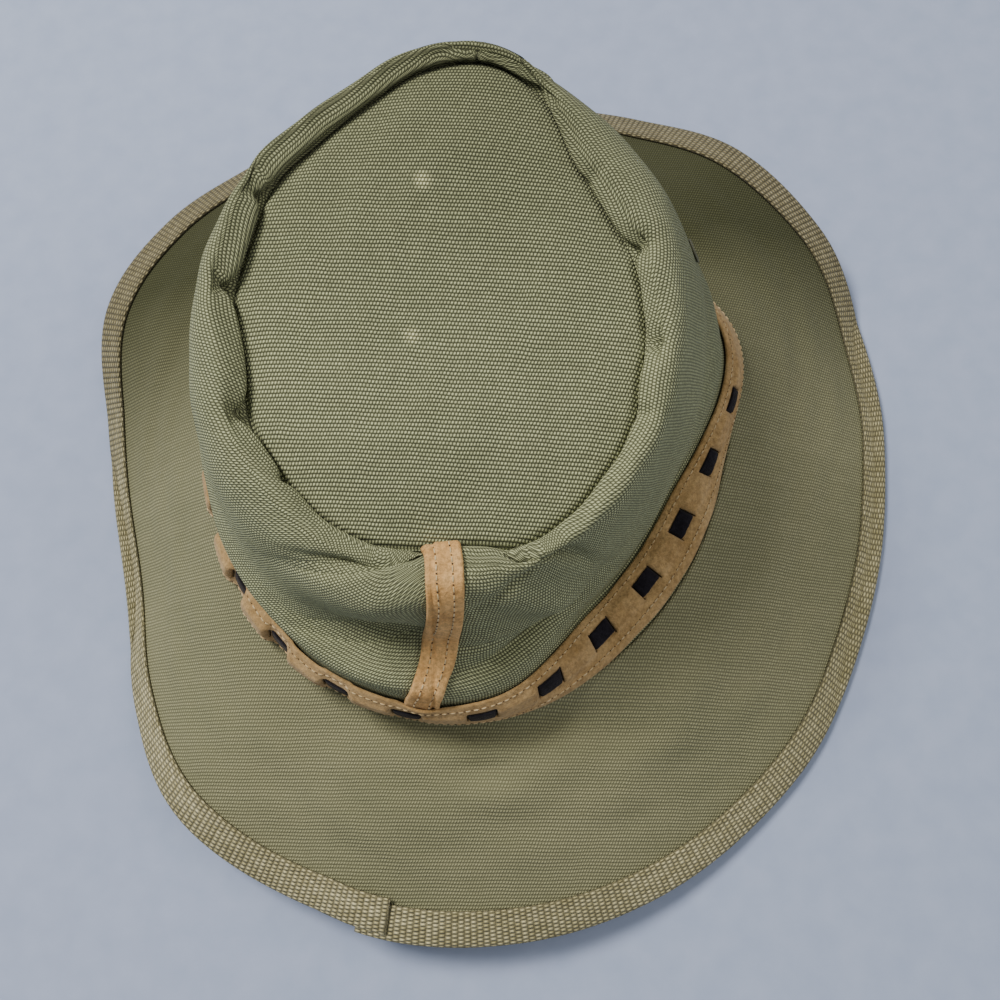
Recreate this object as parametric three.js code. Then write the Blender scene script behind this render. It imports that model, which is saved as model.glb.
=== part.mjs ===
import * as THREE from 'three';

// Safari hat lying on its brim. Lengths in mm, turns and slopes in degrees.
// Turn 0 points to the right, 90 to the front, 180 to the left, 270 to the back.

// Cloth and seams
const canvas = 1.6;
const seam_gap = 0.35;

// Head line, where crown and brim meet
const head_width = 190.8;
const head_length = 196;
const head_height = 45.3;
const head_fall = 2.3;

// Brim and its edge binding
const brim_width = 72.3;
const brim_curl = 3;
const floor_bend = 1;
const tape = 1.1;
const tape_width = 11.4;
const nose = 1.3;
const nose_flat = 1.2;
const edge_room = 0.2;

// Crown
const crown_height = 86;
const tip_slope = 17;
const tip_edge_drop = 4;
const tip_front_drop = 5;
const ridge_height = 9;
const ridge_width = 10;
const fold_depth = 8;
const wall_tuck = 3.6;
const tuck_lean = 0.1;
const front_seam = 78.5;
const back_seam = 258.5;
const seam_half_turn = 0.15;

// Suede band, its slits and the strip woven through them
const band_width = 17.3;
const band_thick = 1.6;
const band_lift = 1.9;
const band_margin = 3;
const band_rise = 1.6;
const slit_width = 2.1;
const slit_length = 8.8;
const lace_width = 5.6;
const lace_thick = 0.8;
const lace_gap = 0.35;
const window_width = 9.6;
const window_pitch = 24.5;
const last_window = 3;
const plain_span = 60;

// Back tab and vent eyelet
const tab_width = 11;
const tab_thick = 1.2;
const tab_tuck = 3;
const tab_gap = 0.7;
const eyelet_outer = 8;
const eyelet_hole = 3.4;
const eyelet_thick = 0.9;

// Mesh steps round the hat
const turns_round = 60;

// Brim by direction, a row for every 30 degrees of turn from 0:
// width as a share of brim_width
const brim_shares = [1.1, 1.06, 1.01, 1.0, 1.0, 0.98, 0.974, 0.99, 1.05, 1.07, 1.13, 1.13];

// Slope of the brim, a value for every 15 degrees of turn from 0
const brim_slopes = [
  33.5, 34, 19, 11, 17, 21, 18, 19, 21, 18, 20, 37,
  44, 44, 34.8, 24, 24, 20, 22, 26, 29, 30, 33, 33,
];

// Swellings of the head line: turn, half width in degrees, share of half the head width
const swellings = [
  { turn: 17, spread: 17, share: 0.105 },
  { turn: 335, spread: 26, share: -0.045 },
  { turn: 190, spread: 17, share: -0.03 },
  { turn: 305, spread: 22, share: -0.032 },
];

// Crown wall by direction, a row for every 30 degrees of turn from 0: how far the
// part behind the band leans in, in degrees, how far the middle and the shoulder of
// the wall lie inside the head line, as shares of half the head width, how far the
// ridge's crest lies outside the seam, as a share of ridge_width, and how far it
// stands above the seam, as a share of ridge_height
const wall_rows = [
  { lean: 33, mid: 0.18, shoulder: 0.29, crest: 0.35, rise: 0.55 },
  { lean: 26, mid: 0.1, shoulder: 0.22, crest: 0.35, rise: 0.55 },
  { lean: 15, mid: 0.09, shoulder: 0.185, crest: 0.1, rise: 0.55 },
  { lean: 12, mid: 0.11, shoulder: 0.165, crest: 0.15, rise: 0.5 },
  { lean: 15, mid: 0.13, shoulder: 0.235, crest: 0.32, rise: 0.65 },
  { lean: 18, mid: 0.12, shoulder: 0.215, crest: 0.4, rise: 0.85 },
  { lean: 22, mid: 0.11, shoulder: 0.205, crest: 0.42, rise: 0.85 },
  { lean: 20, mid: 0.12, shoulder: 0.195, crest: 0.42, rise: 0.8 },
  { lean: 7, mid: 0.14, shoulder: 0.235, crest: 0.4, rise: 0.6 },
  { lean: 14, mid: 0.2, shoulder: 0.305, crest: 0.4, rise: 0.35 },
  { lean: 72, mid: 0.26, shoulder: 0.33, crest: 0.35, rise: 0.45 },
  { lean: 72, mid: 0.25, shoulder: 0.32, crest: 0.35, rise: 0.55 },
];

// How far the seam lies inside the head line, as a share of half the head width,
// for every 15 degrees of turn from 0
const seam_shares = [
  0.405, 0.397, 0.397, 0.363, 0.25, 0.171, 0.19, 0.253, 0.289, 0.292, 0.318, 0.321,
  0.347, 0.334, 0.342, 0.344, 0.363, 0.399, 0.418, 0.386, 0.389, 0.399, 0.399, 0.413,
];

// Folds and puckers of the crown wall: turn and level of the middle (level 1 is the
// top of the band, 3 the shoulder, 4 the crest, 5 the seam), their half widths, the
// depth as a share of fold_depth, and how the level changes with each degree
const folds = [
  { turn: 200, level: 1.45, spread: 45, tall: 0.35, share: 0.55, lean: 0 },
  { turn: 325, level: 1.4, spread: 40, tall: 0.3, share: 0.25, lean: 0 },
  { turn: 240, level: 3.9, spread: 13, tall: 0.2, share: -0.5, lean: 0.047 },
  { turn: 246, level: 2.96, spread: 14, tall: 0.38, share: 0.4, lean: 0.01 },
  { turn: 247, level: 2.2, spread: 13, tall: 0.24, share: -0.6, lean: 0 },
  { turn: 248, level: 1.42, spread: 13, tall: 0.28, share: 0.35, lean: 0 },
  { turn: 284, level: 1.62, spread: 19, tall: 0.22, share: -0.65, lean: 0.004 },
  { turn: 286, level: 2.3, spread: 12, tall: 0.28, share: 0.45, lean: -0.045 },
  { turn: 291, level: 3.4, spread: 11, tall: 0.26, share: -0.5, lean: -0.1 },
  { turn: 4, level: 1.9, spread: 16, tall: 0.28, share: -0.22, lean: 0.024 },
  { turn: 180, level: 4.3, spread: 11, tall: 0.35, share: 0.15, lean: 0 },
  { turn: 216, level: 4.3, spread: 14, tall: 0.35, share: 0.15, lean: 0 },
  { turn: 164, level: 4.7, spread: 4, tall: 0.8, share: -0.35, lean: 0 },
  { turn: 194, level: 4.7, spread: 4, tall: 0.8, share: -0.35, lean: 0 },
  { turn: 140, level: 4.7, spread: 4, tall: 0.8, share: -0.25, lean: 0 },
  { turn: 63, level: 4.6, spread: 4, tall: 0.8, share: -0.35, lean: 0 },
  { turn: 18, level: 4.7, spread: 4, tall: 0.8, share: -0.3, lean: 0 },
  { turn: 353, level: 4.3, spread: 5, tall: 0.5, share: -0.2, lean: 0 },
];

// Way of the back tab down the crown wall: its turn at levels 0, 1, 2 and so on
const tab_turns = [256, 256.4, 259.6, 261.8, 261.7, 260.2];
const tab_top = 4.7;

// Place of the vent eyelet on the crown wall
const eyelet_turn = 22.5;
const eyelet_level = 2.35;

const half_width = head_width / 2;
const half_length = head_length / 2;
const radians = THREE.MathUtils.degToRad;

// A smooth closed curve through evenly spaced values
function around(values, turn) {
  const n = values.length;
  const u = ((((turn / 360) * n) % n) + n) % n;
  const i = Math.floor(u) % n;
  const f = u - Math.floor(u);
  const a = values[(i + n - 1) % n];
  const b = values[i];
  const c = values[(i + 1) % n];
  const d = values[(i + 2) % n];
  return b + 0.5 * f * (c - a + f * (2 * a - 5 * b + 4 * c - d + f * (3 * (b - c) + d - a)));
}

// A smooth open curve through values at levels 0, 1, 2 and so on
function along(values, level) {
  const last = values.length - 1;
  const i = Math.min(Math.max(Math.floor(level), 0), last - 1);
  const f = level - i;
  const b = values[i];
  const c = values[i + 1];
  const a = i > 0 ? values[i - 1] : 2 * b - c;
  const d = i + 2 <= last ? values[i + 2] : 2 * c - b;
  return b + 0.5 * f * (c - a + f * (2 * a - 5 * b + 4 * c - d + f * (3 * (b - c) + d - a)));
}

function apart(turn, other) {
  return ((((turn - other + 180) % 360) + 360) % 360) - 180;
}

function bell(x) {
  return Math.exp(-x * x);
}

function swelling(turn) {
  let sum = 0;
  for (const s of swellings) sum += s.share * half_width * bell(apart(turn, s.turn) / s.spread);
  return sum;
}

function lineHeight(turn) {
  return head_height - head_fall * Math.cos(radians(turn));
}

// Point at a distance outside the plain head line, at a height
function outside(turn, distance, height) {
  const t = radians(turn);
  const nx = half_length * Math.cos(t);
  const ny = half_width * Math.sin(t);
  const n = Math.hypot(nx, ny);
  const x = half_width * Math.cos(t) + (nx / n) * distance;
  const y = half_length * Math.sin(t) + (ny / n) * distance;
  return new THREE.Vector3(x, y, height);
}

// Height of the flat plane that the top panel follows
function tipPlane(x, y) {
  return head_height + crown_height + Math.tan(radians(tip_slope)) * y;
}

function tipDrop(turn) {
  const front = Math.max(Math.sin(radians(turn)), 0);
  return tip_edge_drop + tip_front_drop * front ** 3;
}

function wallRow(name, turn) {
  return around(wall_rows.map((row) => row[name]), turn);
}

function seamInset(turn) {
  return half_width * around(seam_shares, turn);
}

// The lines of the crown wall at one turn, from under the brim to below the seam
function wallLines(turn) {
  const swell = swelling(turn);
  const base = lineHeight(turn);
  const lean = radians(wallRow('lean', turn));
  const inset = seamInset(turn);
  const behind = band_width + band_margin;
  const seam = outside(turn, -inset, 0);
  seam.z = tipPlane(seam.x, seam.y) - tipDrop(turn);
  const top = seam.z;
  const shoulder = top - 0.2 * ridge_height;
  return [
    outside(turn, swell, base - 2 * canvas),
    outside(turn, swell, base),
    outside(turn, swell - Math.sin(lean) * behind, base + Math.cos(lean) * behind),
    outside(turn, 0.5 * swell - wallRow('mid', turn) * half_width, base + 0.55 * (shoulder - base)),
    outside(turn, -wallRow('shoulder', turn) * half_width, shoulder),
    outside(turn, wallRow('crest', turn) * ridge_width - inset, top + wallRow('rise', turn) * ridge_height),
    seam,
    outside(turn, -inset - tuck_lean, top - wall_tuck),
  ];
}

// A smooth curve through the lines, straight up to the top of the band
function smoothWall(turn, level) {
  const lines = wallLines(turn);
  if (level < 1) {
    const i = level < 0 ? 0 : 1;
    return lines[i].lerp(lines[i + 1], level - i + 1);
  }
  const upper = lines.slice(1);
  const x = along(upper.map((p) => p.x), level);
  const y = along(upper.map((p) => p.y), level);
  const z = along(upper.map((p) => p.z), level);
  return new THREE.Vector3(x, y, z);
}

function facing(surface, a, b, da, db) {
  const u = surface(a + da, b).sub(surface(a - da, b));
  const v = surface(a, b + db).sub(surface(a, b - db));
  return u.cross(v).normalize();
}

function foldDepth(turn, level) {
  const fade = THREE.MathUtils.smoothstep(level, 1, 1.35) * (1 - THREE.MathUtils.smoothstep(level, 4.8, 5.4));
  let sum = 0;
  for (const f of folds) {
    const away = apart(turn, f.turn);
    sum += f.share * fold_depth * bell(away / f.spread) * bell((level - f.level - f.lean * away) / f.tall);
  }
  return sum * fade;
}

// Middle of the crown wall's thickness
function wall(turn, level) {
  const p = smoothWall(turn, level);
  const depth = foldDepth(turn, level);
  if (Math.abs(depth) < 0.01) return p;
  return p.addScaledVector(facing(smoothWall, turn, level, 0.5, 0.02), depth);
}

// Height of the brim's middle where it lies flat on the floor with its binding
const floor_height = tape + seam_gap + canvas / 2;

// A height kept above the floor, with a soft bend where the flat part begins
function rested(height) {
  const over = height - floor_height;
  if (over > floor_bend) return height;
  return floor_height + Math.max(over + floor_bend, 0) ** 2 / (4 * floor_bend);
}

// Middle of the brim's thickness, from 0 at the crown to 1 at the edge
function brim(turn, reach) {
  const slope = around(brim_slopes, turn);
  const width = brim_width * around(brim_shares, turn);
  let flat = 0;
  let drop = 0;
  const steps = 8;
  for (let i = 0; i < steps; i += 1) {
    const r = (reach * (i + 0.5)) / steps;
    const s = radians(slope - brim_curl + 2 * brim_curl * r);
    flat += (Math.cos(s) * reach * width) / steps;
    drop += (Math.sin(s) * reach * width) / steps;
  }
  const tilted = (Math.sin(radians(slope)) * canvas) / 2;
  const start = swelling(turn) + canvas / 2 + seam_gap + tilted;
  return outside(turn, start + flat, rested(lineHeight(turn) - drop));
}

function geometry(points, faces) {
  const g = new THREE.BufferGeometry();
  const flat = new Float32Array(points.length * 3);
  points.forEach((p, i) => p.toArray(flat, i * 3));
  g.setAttribute('position', new THREE.BufferAttribute(flat, 3));
  g.setIndex(faces);
  g.computeVertexNormals();
  return g;
}

function quad(faces, a, b, c, d) {
  faces.push(a, b, c, a, c, d);
}

// A closed ring of loops, each loop with the same count of points. The triangles of
// two neighbouring sheets run alike when one of the two is crossed.
function ringOf(loops, crossed = false) {
  const n = loops.length;
  const m = loops[0].length;
  const points = loops.flat();
  const faces = [];
  for (let i = 0; i < n; i += 1) {
    for (let j = 0; j < m; j += 1) {
      const i2 = (i + 1) % n;
      const j2 = (j + 1) % m;
      if (crossed) quad(faces, i2 * m + j, i2 * m + j2, i * m + j2, i * m + j);
      else quad(faces, i * m + j, i2 * m + j, i2 * m + j2, i * m + j2);
    }
  }
  return geometry(points, faces);
}

// A closed strip of loops with both ends capped by a fan
function stripOf(loops) {
  const n = loops.length;
  const m = loops[0].length;
  const points = loops.flat();
  const faces = [];
  for (let i = 0; i + 1 < n; i += 1) {
    for (let j = 0; j < m; j += 1) {
      const j2 = (j + 1) % m;
      quad(faces, i * m + j, (i + 1) * m + j, (i + 1) * m + j2, i * m + j2);
    }
  }
  for (let j = 1; j + 1 < m; j += 1) {
    faces.push(0, j, j + 1);
    faces.push((n - 1) * m, (n - 1) * m + j + 1, (n - 1) * m + j);
  }
  return geometry(points, faces);
}

// A closed strip of a sheet's sections, its ends capped from outer to inner face
function sheetOf(loops) {
  const n = loops.length;
  const m = loops[0].length;
  const faces = [];
  for (let i = 0; i + 1 < n; i += 1) {
    for (let j = 0; j < m; j += 1) {
      const j2 = (j + 1) % m;
      quad(faces, i * m + j, (i + 1) * m + j, (i + 1) * m + j2, i * m + j2);
    }
  }
  const last = (n - 1) * m;
  for (let j = 0; j + 1 < m / 2; j += 1) {
    const k = m - 1 - j;
    quad(faces, j, j + 1, k - 1, k);
    quad(faces, last + j, last + k, last + k - 1, last + j + 1);
  }
  return geometry(loops.flat(), faces);
}

// Loop round a sheet's section: up the outer face and back down the inner one
function sectionLoop(surface, turn, levels, low, high, da, db) {
  const outer = [];
  const inner = [];
  for (const level of levels) {
    const p = surface(turn, level);
    const n = facing(surface, turn, level, da, db);
    outer.push(p.clone().addScaledVector(n, high));
    inner.push(p.clone().addScaledVector(n, low));
  }
  return [...outer, ...inner.reverse()];
}

function roundTurns(count) {
  return Array.from({ length: count }, (_, i) => (360 * i) / count);
}

const turns = roundTurns(turns_round);

const wall_levels = [-1, 0, 0.5, 1, 1.3, 1.6, 2.1, 2.6, 3.1, 3.55, 4, 4.35, 4.7, 5, 5.7];

// One side panel of the crown, between its two upright seams
function crownSide(from, to) {
  const half = canvas / 2;
  const start = from + seam_half_turn;
  const end = to - seam_half_turn;
  const step = 360 / turns_round;
  const ways = [start];
  for (let t = Math.ceil(start / step) * step; t < end; t += step) {
    if (t - start > step / 4 && end - t > step / 4) ways.push(t);
  }
  ways.push(end);
  return sheetOf(ways.map((t) => sectionLoop(wall, t, wall_levels, -half, half, 0.5, 0.02)));
}

// Point on the flat faces that make up the outside of the crown wall
function wallFace(turn, level) {
  const step = 360 / turns_round;
  const i = Math.floor(turn / step);
  let j = 0;
  while (j < wall_levels.length - 2 && wall_levels[j + 1] <= level) j += 1;
  const u = turn / step - i;
  const v = (level - wall_levels[j]) / (wall_levels[j + 1] - wall_levels[j]);
  const corner = (a, b) => {
    const t = (i + a) * step;
    const l = wall_levels[j + b];
    return wall(t, l).addScaledVector(facing(wall, t, l, 0.5, 0.02), canvas / 2);
  };
  const low = corner(0, 0).lerp(corner(1, 0), u);
  const high = corner(0, 1).lerp(corner(1, 1), u);
  return low.lerp(high, v);
}

function brimBody() {
  const loops = turns.map((t) => {
    const tape_share = tape_width / (brim_width * around(brim_shares, t));
    const reaches = [0, 0.17, 0.34, 0.51, 0.68, 1 - tape_share, 1 - tape_share / 4, 1];
    return sectionLoop(brim, t, reaches, -canvas / 2, canvas / 2, -0.5, 0.01).reverse();
  });
  return ringOf(loops);
}

// The binding's section: distance in from the brim's edge and height over the
// brim's middle, out along the top, round the edge and back under it
function bindingLoop(turn) {
  const width = brim_width * around(brim_shares, turn);
  const near = canvas / 2 + seam_gap;
  const far = near + tape;
  const edge = -(seam_gap + edge_room);
  const rows = [
    { inward: tape_width, height: far },
    { inward: tape_width / 4, height: far },
    { inward: 0, height: far },
    { inward: edge - nose, height: nose_flat / 2 },
    { inward: edge - nose, height: -nose_flat / 2 },
    { inward: 0, height: -far },
    { inward: tape_width / 4, height: -far },
    { inward: tape_width, height: -far },
    { inward: tape_width, height: -near },
    { inward: tape_width / 4, height: -near },
    { inward: edge, height: -near },
    { inward: edge, height: near },
    { inward: tape_width / 4, height: near },
    { inward: tape_width, height: near },
  ];
  return rows.reverse().map((row) => {
    const reach = 1 - row.inward / width;
    const n = facing(brim, turn, Math.min(reach, 1), -0.5, 0.01);
    return brim(turn, reach).addScaledVector(n, row.height);
  });
}

function bindingBody() {
  return ringOf(turns.map(bindingLoop), true);
}

// Top panel: a dished disc in rings, with a rim that stops at the crown wall
function tipPoint(turn, share, side) {
  const inset = seamInset(turn) + canvas / 2 + seam_gap;
  const rim = outside(turn, -inset, 0);
  const middle = new THREE.Vector3(-0.1 * half_width, 0.1 * half_length, 0);
  const p = middle.lerp(rim, share);
  p.z = tipPlane(p.x, p.y) - tipDrop(turn) * share ** 4 + (side * canvas) / 2;
  return p;
}

function tipBody() {
  const shares = [1, 0.93, 0.8, 0.55, 0.28];
  const points = [];
  const faces = [];
  const n = turns.length;
  for (const side of [1, -1]) {
    for (const share of shares) for (const t of turns) points.push(tipPoint(t, share, side));
    points.push(tipPoint(0, 0, side));
  }
  const half = shares.length * n + 1;
  for (let k = 0; k < shares.length; k += 1) {
    for (let i = 0; i < n; i += 1) {
      const j = (i + 1) % n;
      const last = k + 1 === shares.length;
      const a = k * n + i;
      const b = k * n + j;
      if (last) {
        faces.push(a, b, half - 1);
        faces.push(half + b, half + a, 2 * half - 1);
      } else {
        quad(faces, a, b, b + n, a + n);
        quad(faces, half + b, half + a, half + a + n, half + b + n);
      }
    }
  }
  for (let i = 0; i < n; i += 1) {
    const j = (i + 1) % n;
    quad(faces, half + i, half + j, j, i);
  }
  return geometry(points, faces);
}

// Straight line across the band at a turn, from its lower edge
const band_foot = band_rise / (band_width + band_margin);
function bandPlace(turn, across, lift) {
  const foot = wall(turn, band_foot);
  const up = wall(turn, 0.95).sub(foot).normalize();
  const ahead = wall(turn + 0.5, band_foot).sub(wall(turn - 0.5, band_foot)).normalize();
  const out = ahead.clone().cross(up).normalize();
  return foot.addScaledVector(up, across).addScaledVector(out, canvas / 2 + lift);
}

// Length along the band from turn 0, in steps of one degree
const band_lengths = [0];
for (let t = 1; t <= 360; t += 1) {
  const a = bandPlace(t - 1, band_width / 2, band_lift);
  const b = bandPlace(t, band_width / 2, band_lift);
  band_lengths.push(band_lengths[t - 1] + a.distanceTo(b));
}
const band_round = band_lengths[360];

function turnAt(length) {
  const whole = Math.floor(length / band_round);
  const rest = length - whole * band_round;
  let i = 0;
  while (i < 359 && band_lengths[i + 1] < rest) i += 1;
  const part = (rest - band_lengths[i]) / (band_lengths[i + 1] - band_lengths[i]);
  return 360 * whole + i + part;
}

// Middles of the windows where the strip shows, clear of the plain span
const window_count = Math.floor((band_round - plain_span) / window_pitch) + 1;
const window_start = last_window - (window_count - 1) * window_pitch;
const windows = Array.from({ length: window_count }, (_, i) => window_start + i * window_pitch);

function bandBody() {
  const columns = [];
  const last = windows[window_count - 1];
  const half = slit_width / 2;
  for (const w of windows) {
    const left = w - window_width / 2;
    const right = w + window_width / 2;
    columns.push({ at: left - half, slit: true });
    columns.push({ at: left + half, slit: false });
    columns.push({ at: right - half, slit: true });
    columns.push({ at: right + half, slit: false });
    const next = w === last ? windows[0] + band_round : w + window_pitch;
    const free = next - window_width / 2 - half - (right + half);
    const parts = Math.max(2, Math.round(free / 8));
    for (let k = 1; k < parts; k += 1) {
      columns.push({ at: right + half + (free * k) / parts, slit: false });
    }
  }
  const rows = [0, (band_width - slit_length) / 2, (band_width + slit_length) / 2, band_width];
  const n = columns.length;
  const m = rows.length;
  const points = [];
  const faces = [];
  for (const lift of [band_lift, band_lift + band_thick]) {
    for (const c of columns) for (const r of rows) points.push(bandPlace(turnAt(c.at), r, lift));
  }
  const face = n * m;
  const solid = (i, j) => j >= 0 && j < m - 1 && !(j === 1 && columns[(i + n) % n].slit);
  for (let i = 0; i < n; i += 1) {
    const i2 = (i + 1) % n;
    for (let j = 0; j < m - 1; j += 1) {
      if (!solid(i, j)) continue;
      const a = i * m + j;
      const b = i2 * m + j;
      quad(faces, b, a, a + 1, b + 1);
      quad(faces, face + a, face + b, face + b + 1, face + a + 1);
      if (!solid(i, j - 1)) quad(faces, a, b, face + b, face + a);
      if (!solid(i, j + 1)) quad(faces, b + 1, a + 1, face + a + 1, face + b + 1);
      if (!solid(i - 1, j)) quad(faces, a + 1, a, face + a, face + a + 1);
      if (!solid(i + 1, j)) quad(faces, b, b + 1, face + b + 1, face + b);
    }
  }
  return geometry(points, faces);
}

// The woven strip: behind the band between windows, in front of it at them
function lacingBody() {
  const behind = (band_lift - lace_thick) / 2;
  const before = band_lift + band_thick + behind;
  const half = lace_thick / 2;
  const stops = [];
  windows.forEach((w, k) => {
    const left = w - window_width / 2;
    const right = w + window_width / 2;
    stops.push({ inner: left + half, outer: left - half, lift: behind });
    stops.push({ inner: left + half, outer: left - half, lift: before });
    stops.push({ inner: right - half, outer: right + half, lift: before });
    stops.push({ inner: right - half, outer: right + half, lift: behind });
    const next = k + 1 < window_count ? windows[k + 1] : windows[0] + band_round;
    const free = next - window_width - w;
    const parts = Math.max(2, Math.round(free / 7));
    for (let i = 1; i < parts; i += 1) {
      const at = right + (free * i) / parts;
      stops.push({ inner: at, outer: at, lift: behind });
    }
  });
  const high = (band_width + slit_length) / 2 - lace_gap;
  const low = high - lace_width;
  return ringOf(stops.map((s) => [
    bandPlace(turnAt(s.inner), low, s.lift),
    bandPlace(turnAt(s.outer), low, s.lift + lace_thick),
    bandPlace(turnAt(s.outer), high, s.lift + lace_thick),
    bandPlace(turnAt(s.inner), high, s.lift),
  ]));
}

// The tab lies on the crown wall and runs in behind the band's upper edge
function tabBody() {
  const tucked = (band_rise + band_width - tab_tuck) / (band_width + band_margin);
  const levels = [tucked, ...wall_levels.filter((l) => l > tucked && l <= tab_top)];
  const loops = [];
  for (const level of levels) {
    const way = along(tab_turns, level);
    const arc = wall(way + 1, level).distanceTo(wall(way - 1, level)) / 2;
    const half = tab_width / 2 / arc;
    const outer = [];
    const inner = [];
    for (const k of [-1, 0, 1]) {
      const p = wallFace(way + k * half, level);
      const n = facing(wall, way + k * half, level, 0.5, 0.02);
      outer.push(p.clone().addScaledVector(n, tab_gap + tab_thick));
      inner.push(p.clone().addScaledVector(n, tab_gap));
    }
    loops.push([...outer, ...inner.reverse()]);
  }
  return stripOf(loops.reverse());
}

function eyeletBody() {
  const middle = wallFace(eyelet_turn, eyelet_level);
  const out = facing(wall, eyelet_turn, eyelet_level, 0.5, 0.02);
  const side = wall(eyelet_turn + 0.5, eyelet_level).sub(wall(eyelet_turn - 0.5, eyelet_level)).normalize();
  const up = out.clone().cross(side).normalize();
  const sides = 16;
  const lift = seam_gap;
  const place = (angle, radius, height) => middle
    .clone()
    .addScaledVector(side, radius * Math.cos(angle))
    .addScaledVector(up, radius * Math.sin(angle))
    .addScaledVector(out, lift + height);
  const loops = [];
  for (let i = 0; i < sides; i += 1) {
    const angle = (2 * Math.PI * i) / sides;
    loops.push([
      place(angle, eyelet_outer / 2, 0),
      place(angle, eyelet_outer / 2, eyelet_thick / 2),
      place(angle, (eyelet_outer + eyelet_hole) / 4, eyelet_thick),
      place(angle, eyelet_hole / 2, eyelet_thick / 2),
      place(angle, eyelet_hole / 2, 0),
    ]);
  }
  return ringOf(loops);
}

const colours = {
  canvas: 0x87876b,
  tape: 0x8b8266,
  suede: 0xa5835b,
  dark: 0x261f1c,
  brass: 0x5a5a48,
};

const group = new THREE.Group();

function add(name, shape, colour) {
  const material = new THREE.MeshStandardMaterial({ color: colour, roughness: 0.9 });
  const mesh = new THREE.Mesh(shape, material);
  mesh.name = name;
  group.add(mesh);
  return mesh;
}

add('crown_side_left', crownSide(front_seam, back_seam), colours.canvas);
add('crown_side_right', crownSide(back_seam, front_seam + 360), colours.canvas);
add('crown_tip', tipBody(), colours.canvas);
add('brim', brimBody(), colours.canvas);
add('brim_binding', bindingBody(), colours.tape);
add('hat_band', bandBody(), colours.suede);
add('band_lacing', lacingBody(), colours.dark);
add('back_tab', tabBody(), colours.suede);
add('vent_eyelet', eyeletBody(), colours.brass);

// The origin goes under the middle of the whole hat
const box = new THREE.Box3().setFromObject(group);
const middle = box.getCenter(new THREE.Vector3());
for (const mesh of group.children) mesh.geometry.translate(-middle.x, -middle.y, -box.min.z);

export default group;
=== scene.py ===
import math

import bpy
import numpy as np
from mathutils import Matrix, Vector


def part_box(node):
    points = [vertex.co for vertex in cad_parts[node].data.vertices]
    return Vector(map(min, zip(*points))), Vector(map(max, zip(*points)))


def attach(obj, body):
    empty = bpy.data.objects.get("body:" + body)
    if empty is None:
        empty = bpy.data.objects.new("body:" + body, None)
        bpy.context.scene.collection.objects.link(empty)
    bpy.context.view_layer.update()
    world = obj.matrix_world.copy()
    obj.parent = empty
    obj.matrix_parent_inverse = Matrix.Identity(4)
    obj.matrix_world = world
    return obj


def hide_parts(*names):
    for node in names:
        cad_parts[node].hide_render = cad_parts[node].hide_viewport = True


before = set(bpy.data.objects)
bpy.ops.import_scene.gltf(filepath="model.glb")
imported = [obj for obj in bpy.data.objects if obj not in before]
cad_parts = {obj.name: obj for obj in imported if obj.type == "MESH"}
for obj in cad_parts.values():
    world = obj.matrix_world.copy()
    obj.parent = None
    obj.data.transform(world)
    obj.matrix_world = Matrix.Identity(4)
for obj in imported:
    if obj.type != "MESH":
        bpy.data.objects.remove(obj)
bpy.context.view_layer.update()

# Safari hat lying on its brim. Lengths are in mm until a mesh is made, turns and
# slopes in degrees. Turn 0 points right, 90 to the front, 180 left, 270 to the back.
MM = 0.001

# Cloth and seams
CANVAS = 1.6
SEAM_GAP = 0.35

# Head line, where crown and brim meet
HEAD_WIDTH = 190.8
HEAD_LENGTH = 196
HEAD_HEIGHT = 45.3
HEAD_FALL = 2.3
HALF_WIDTH = HEAD_WIDTH / 2
HALF_LENGTH = HEAD_LENGTH / 2

# Brim and its edge binding
BRIM_WIDTH = 72.3
BRIM_CURL = 3
FLOOR_BEND = 1
TAPE = 1.1
TAPE_WIDTH = 11.4
NOSE = 1.3
EDGE_ROOM = 0.2
FLOOR_HEIGHT = TAPE + SEAM_GAP + CANVAS / 2

# Crown
CROWN_HEIGHT = 86
TIP_SLOPE = 17
TIP_EDGE_DROP = 4
TIP_FRONT_DROP = 5
RIDGE_HEIGHT = 9
RIDGE_WIDTH = 10
FOLD_DEPTH = 8
WALL_TUCK = 3.6
TUCK_LEAN = 0.1
FRONT_SEAM = 78.5
BACK_SEAM = 258.5

# Suede band, its slits and the strip woven through them
BAND_WIDTH = 17.3
BAND_THICK = 1.6
BAND_LIFT = 1.9
BAND_MARGIN = 3
BAND_RISE = 1.6
SLIT_LENGTH = 8.8
LACE_WIDTH = 5.6
LACE_THICK = 0.8
LACE_GAP = 0.35
WINDOW_WIDTH = 9.6
WINDOW_PITCH = 24.5
LAST_WINDOW = 3
PLAIN_SPAN = 60

# Back tab and vent eyelet
TAB_WIDTH = 11
TAB_THICK = 1.2
TAB_TUCK = 3
TAB_GAP = 0.7
EYELET_OUTER = 8
EYELET_HOLE = 3.4
EYELET_TURN = 22.5
EYELET_LEVEL = 2.35

# Brim by direction: width as a share of BRIM_WIDTH for every 30 degrees of turn,
# and slope for every 15 degrees
BRIM_SHARES = [1.1, 1.06, 1.01, 1.0, 1.0, 0.98, 0.974, 0.99, 1.05, 1.07, 1.13, 1.13]
BRIM_SLOPES = [
    33.5, 34, 19, 11, 17, 21, 18, 19, 21, 18, 20, 37,
    44, 44, 34.8, 24, 24, 20, 22, 26, 29, 30, 33, 33,
]

# Swellings of the head line: turn, half width in degrees, share of half the head width
SWELLINGS = [(17, 17, 0.105), (335, 26, -0.045), (190, 17, -0.03), (305, 22, -0.032)]

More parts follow.
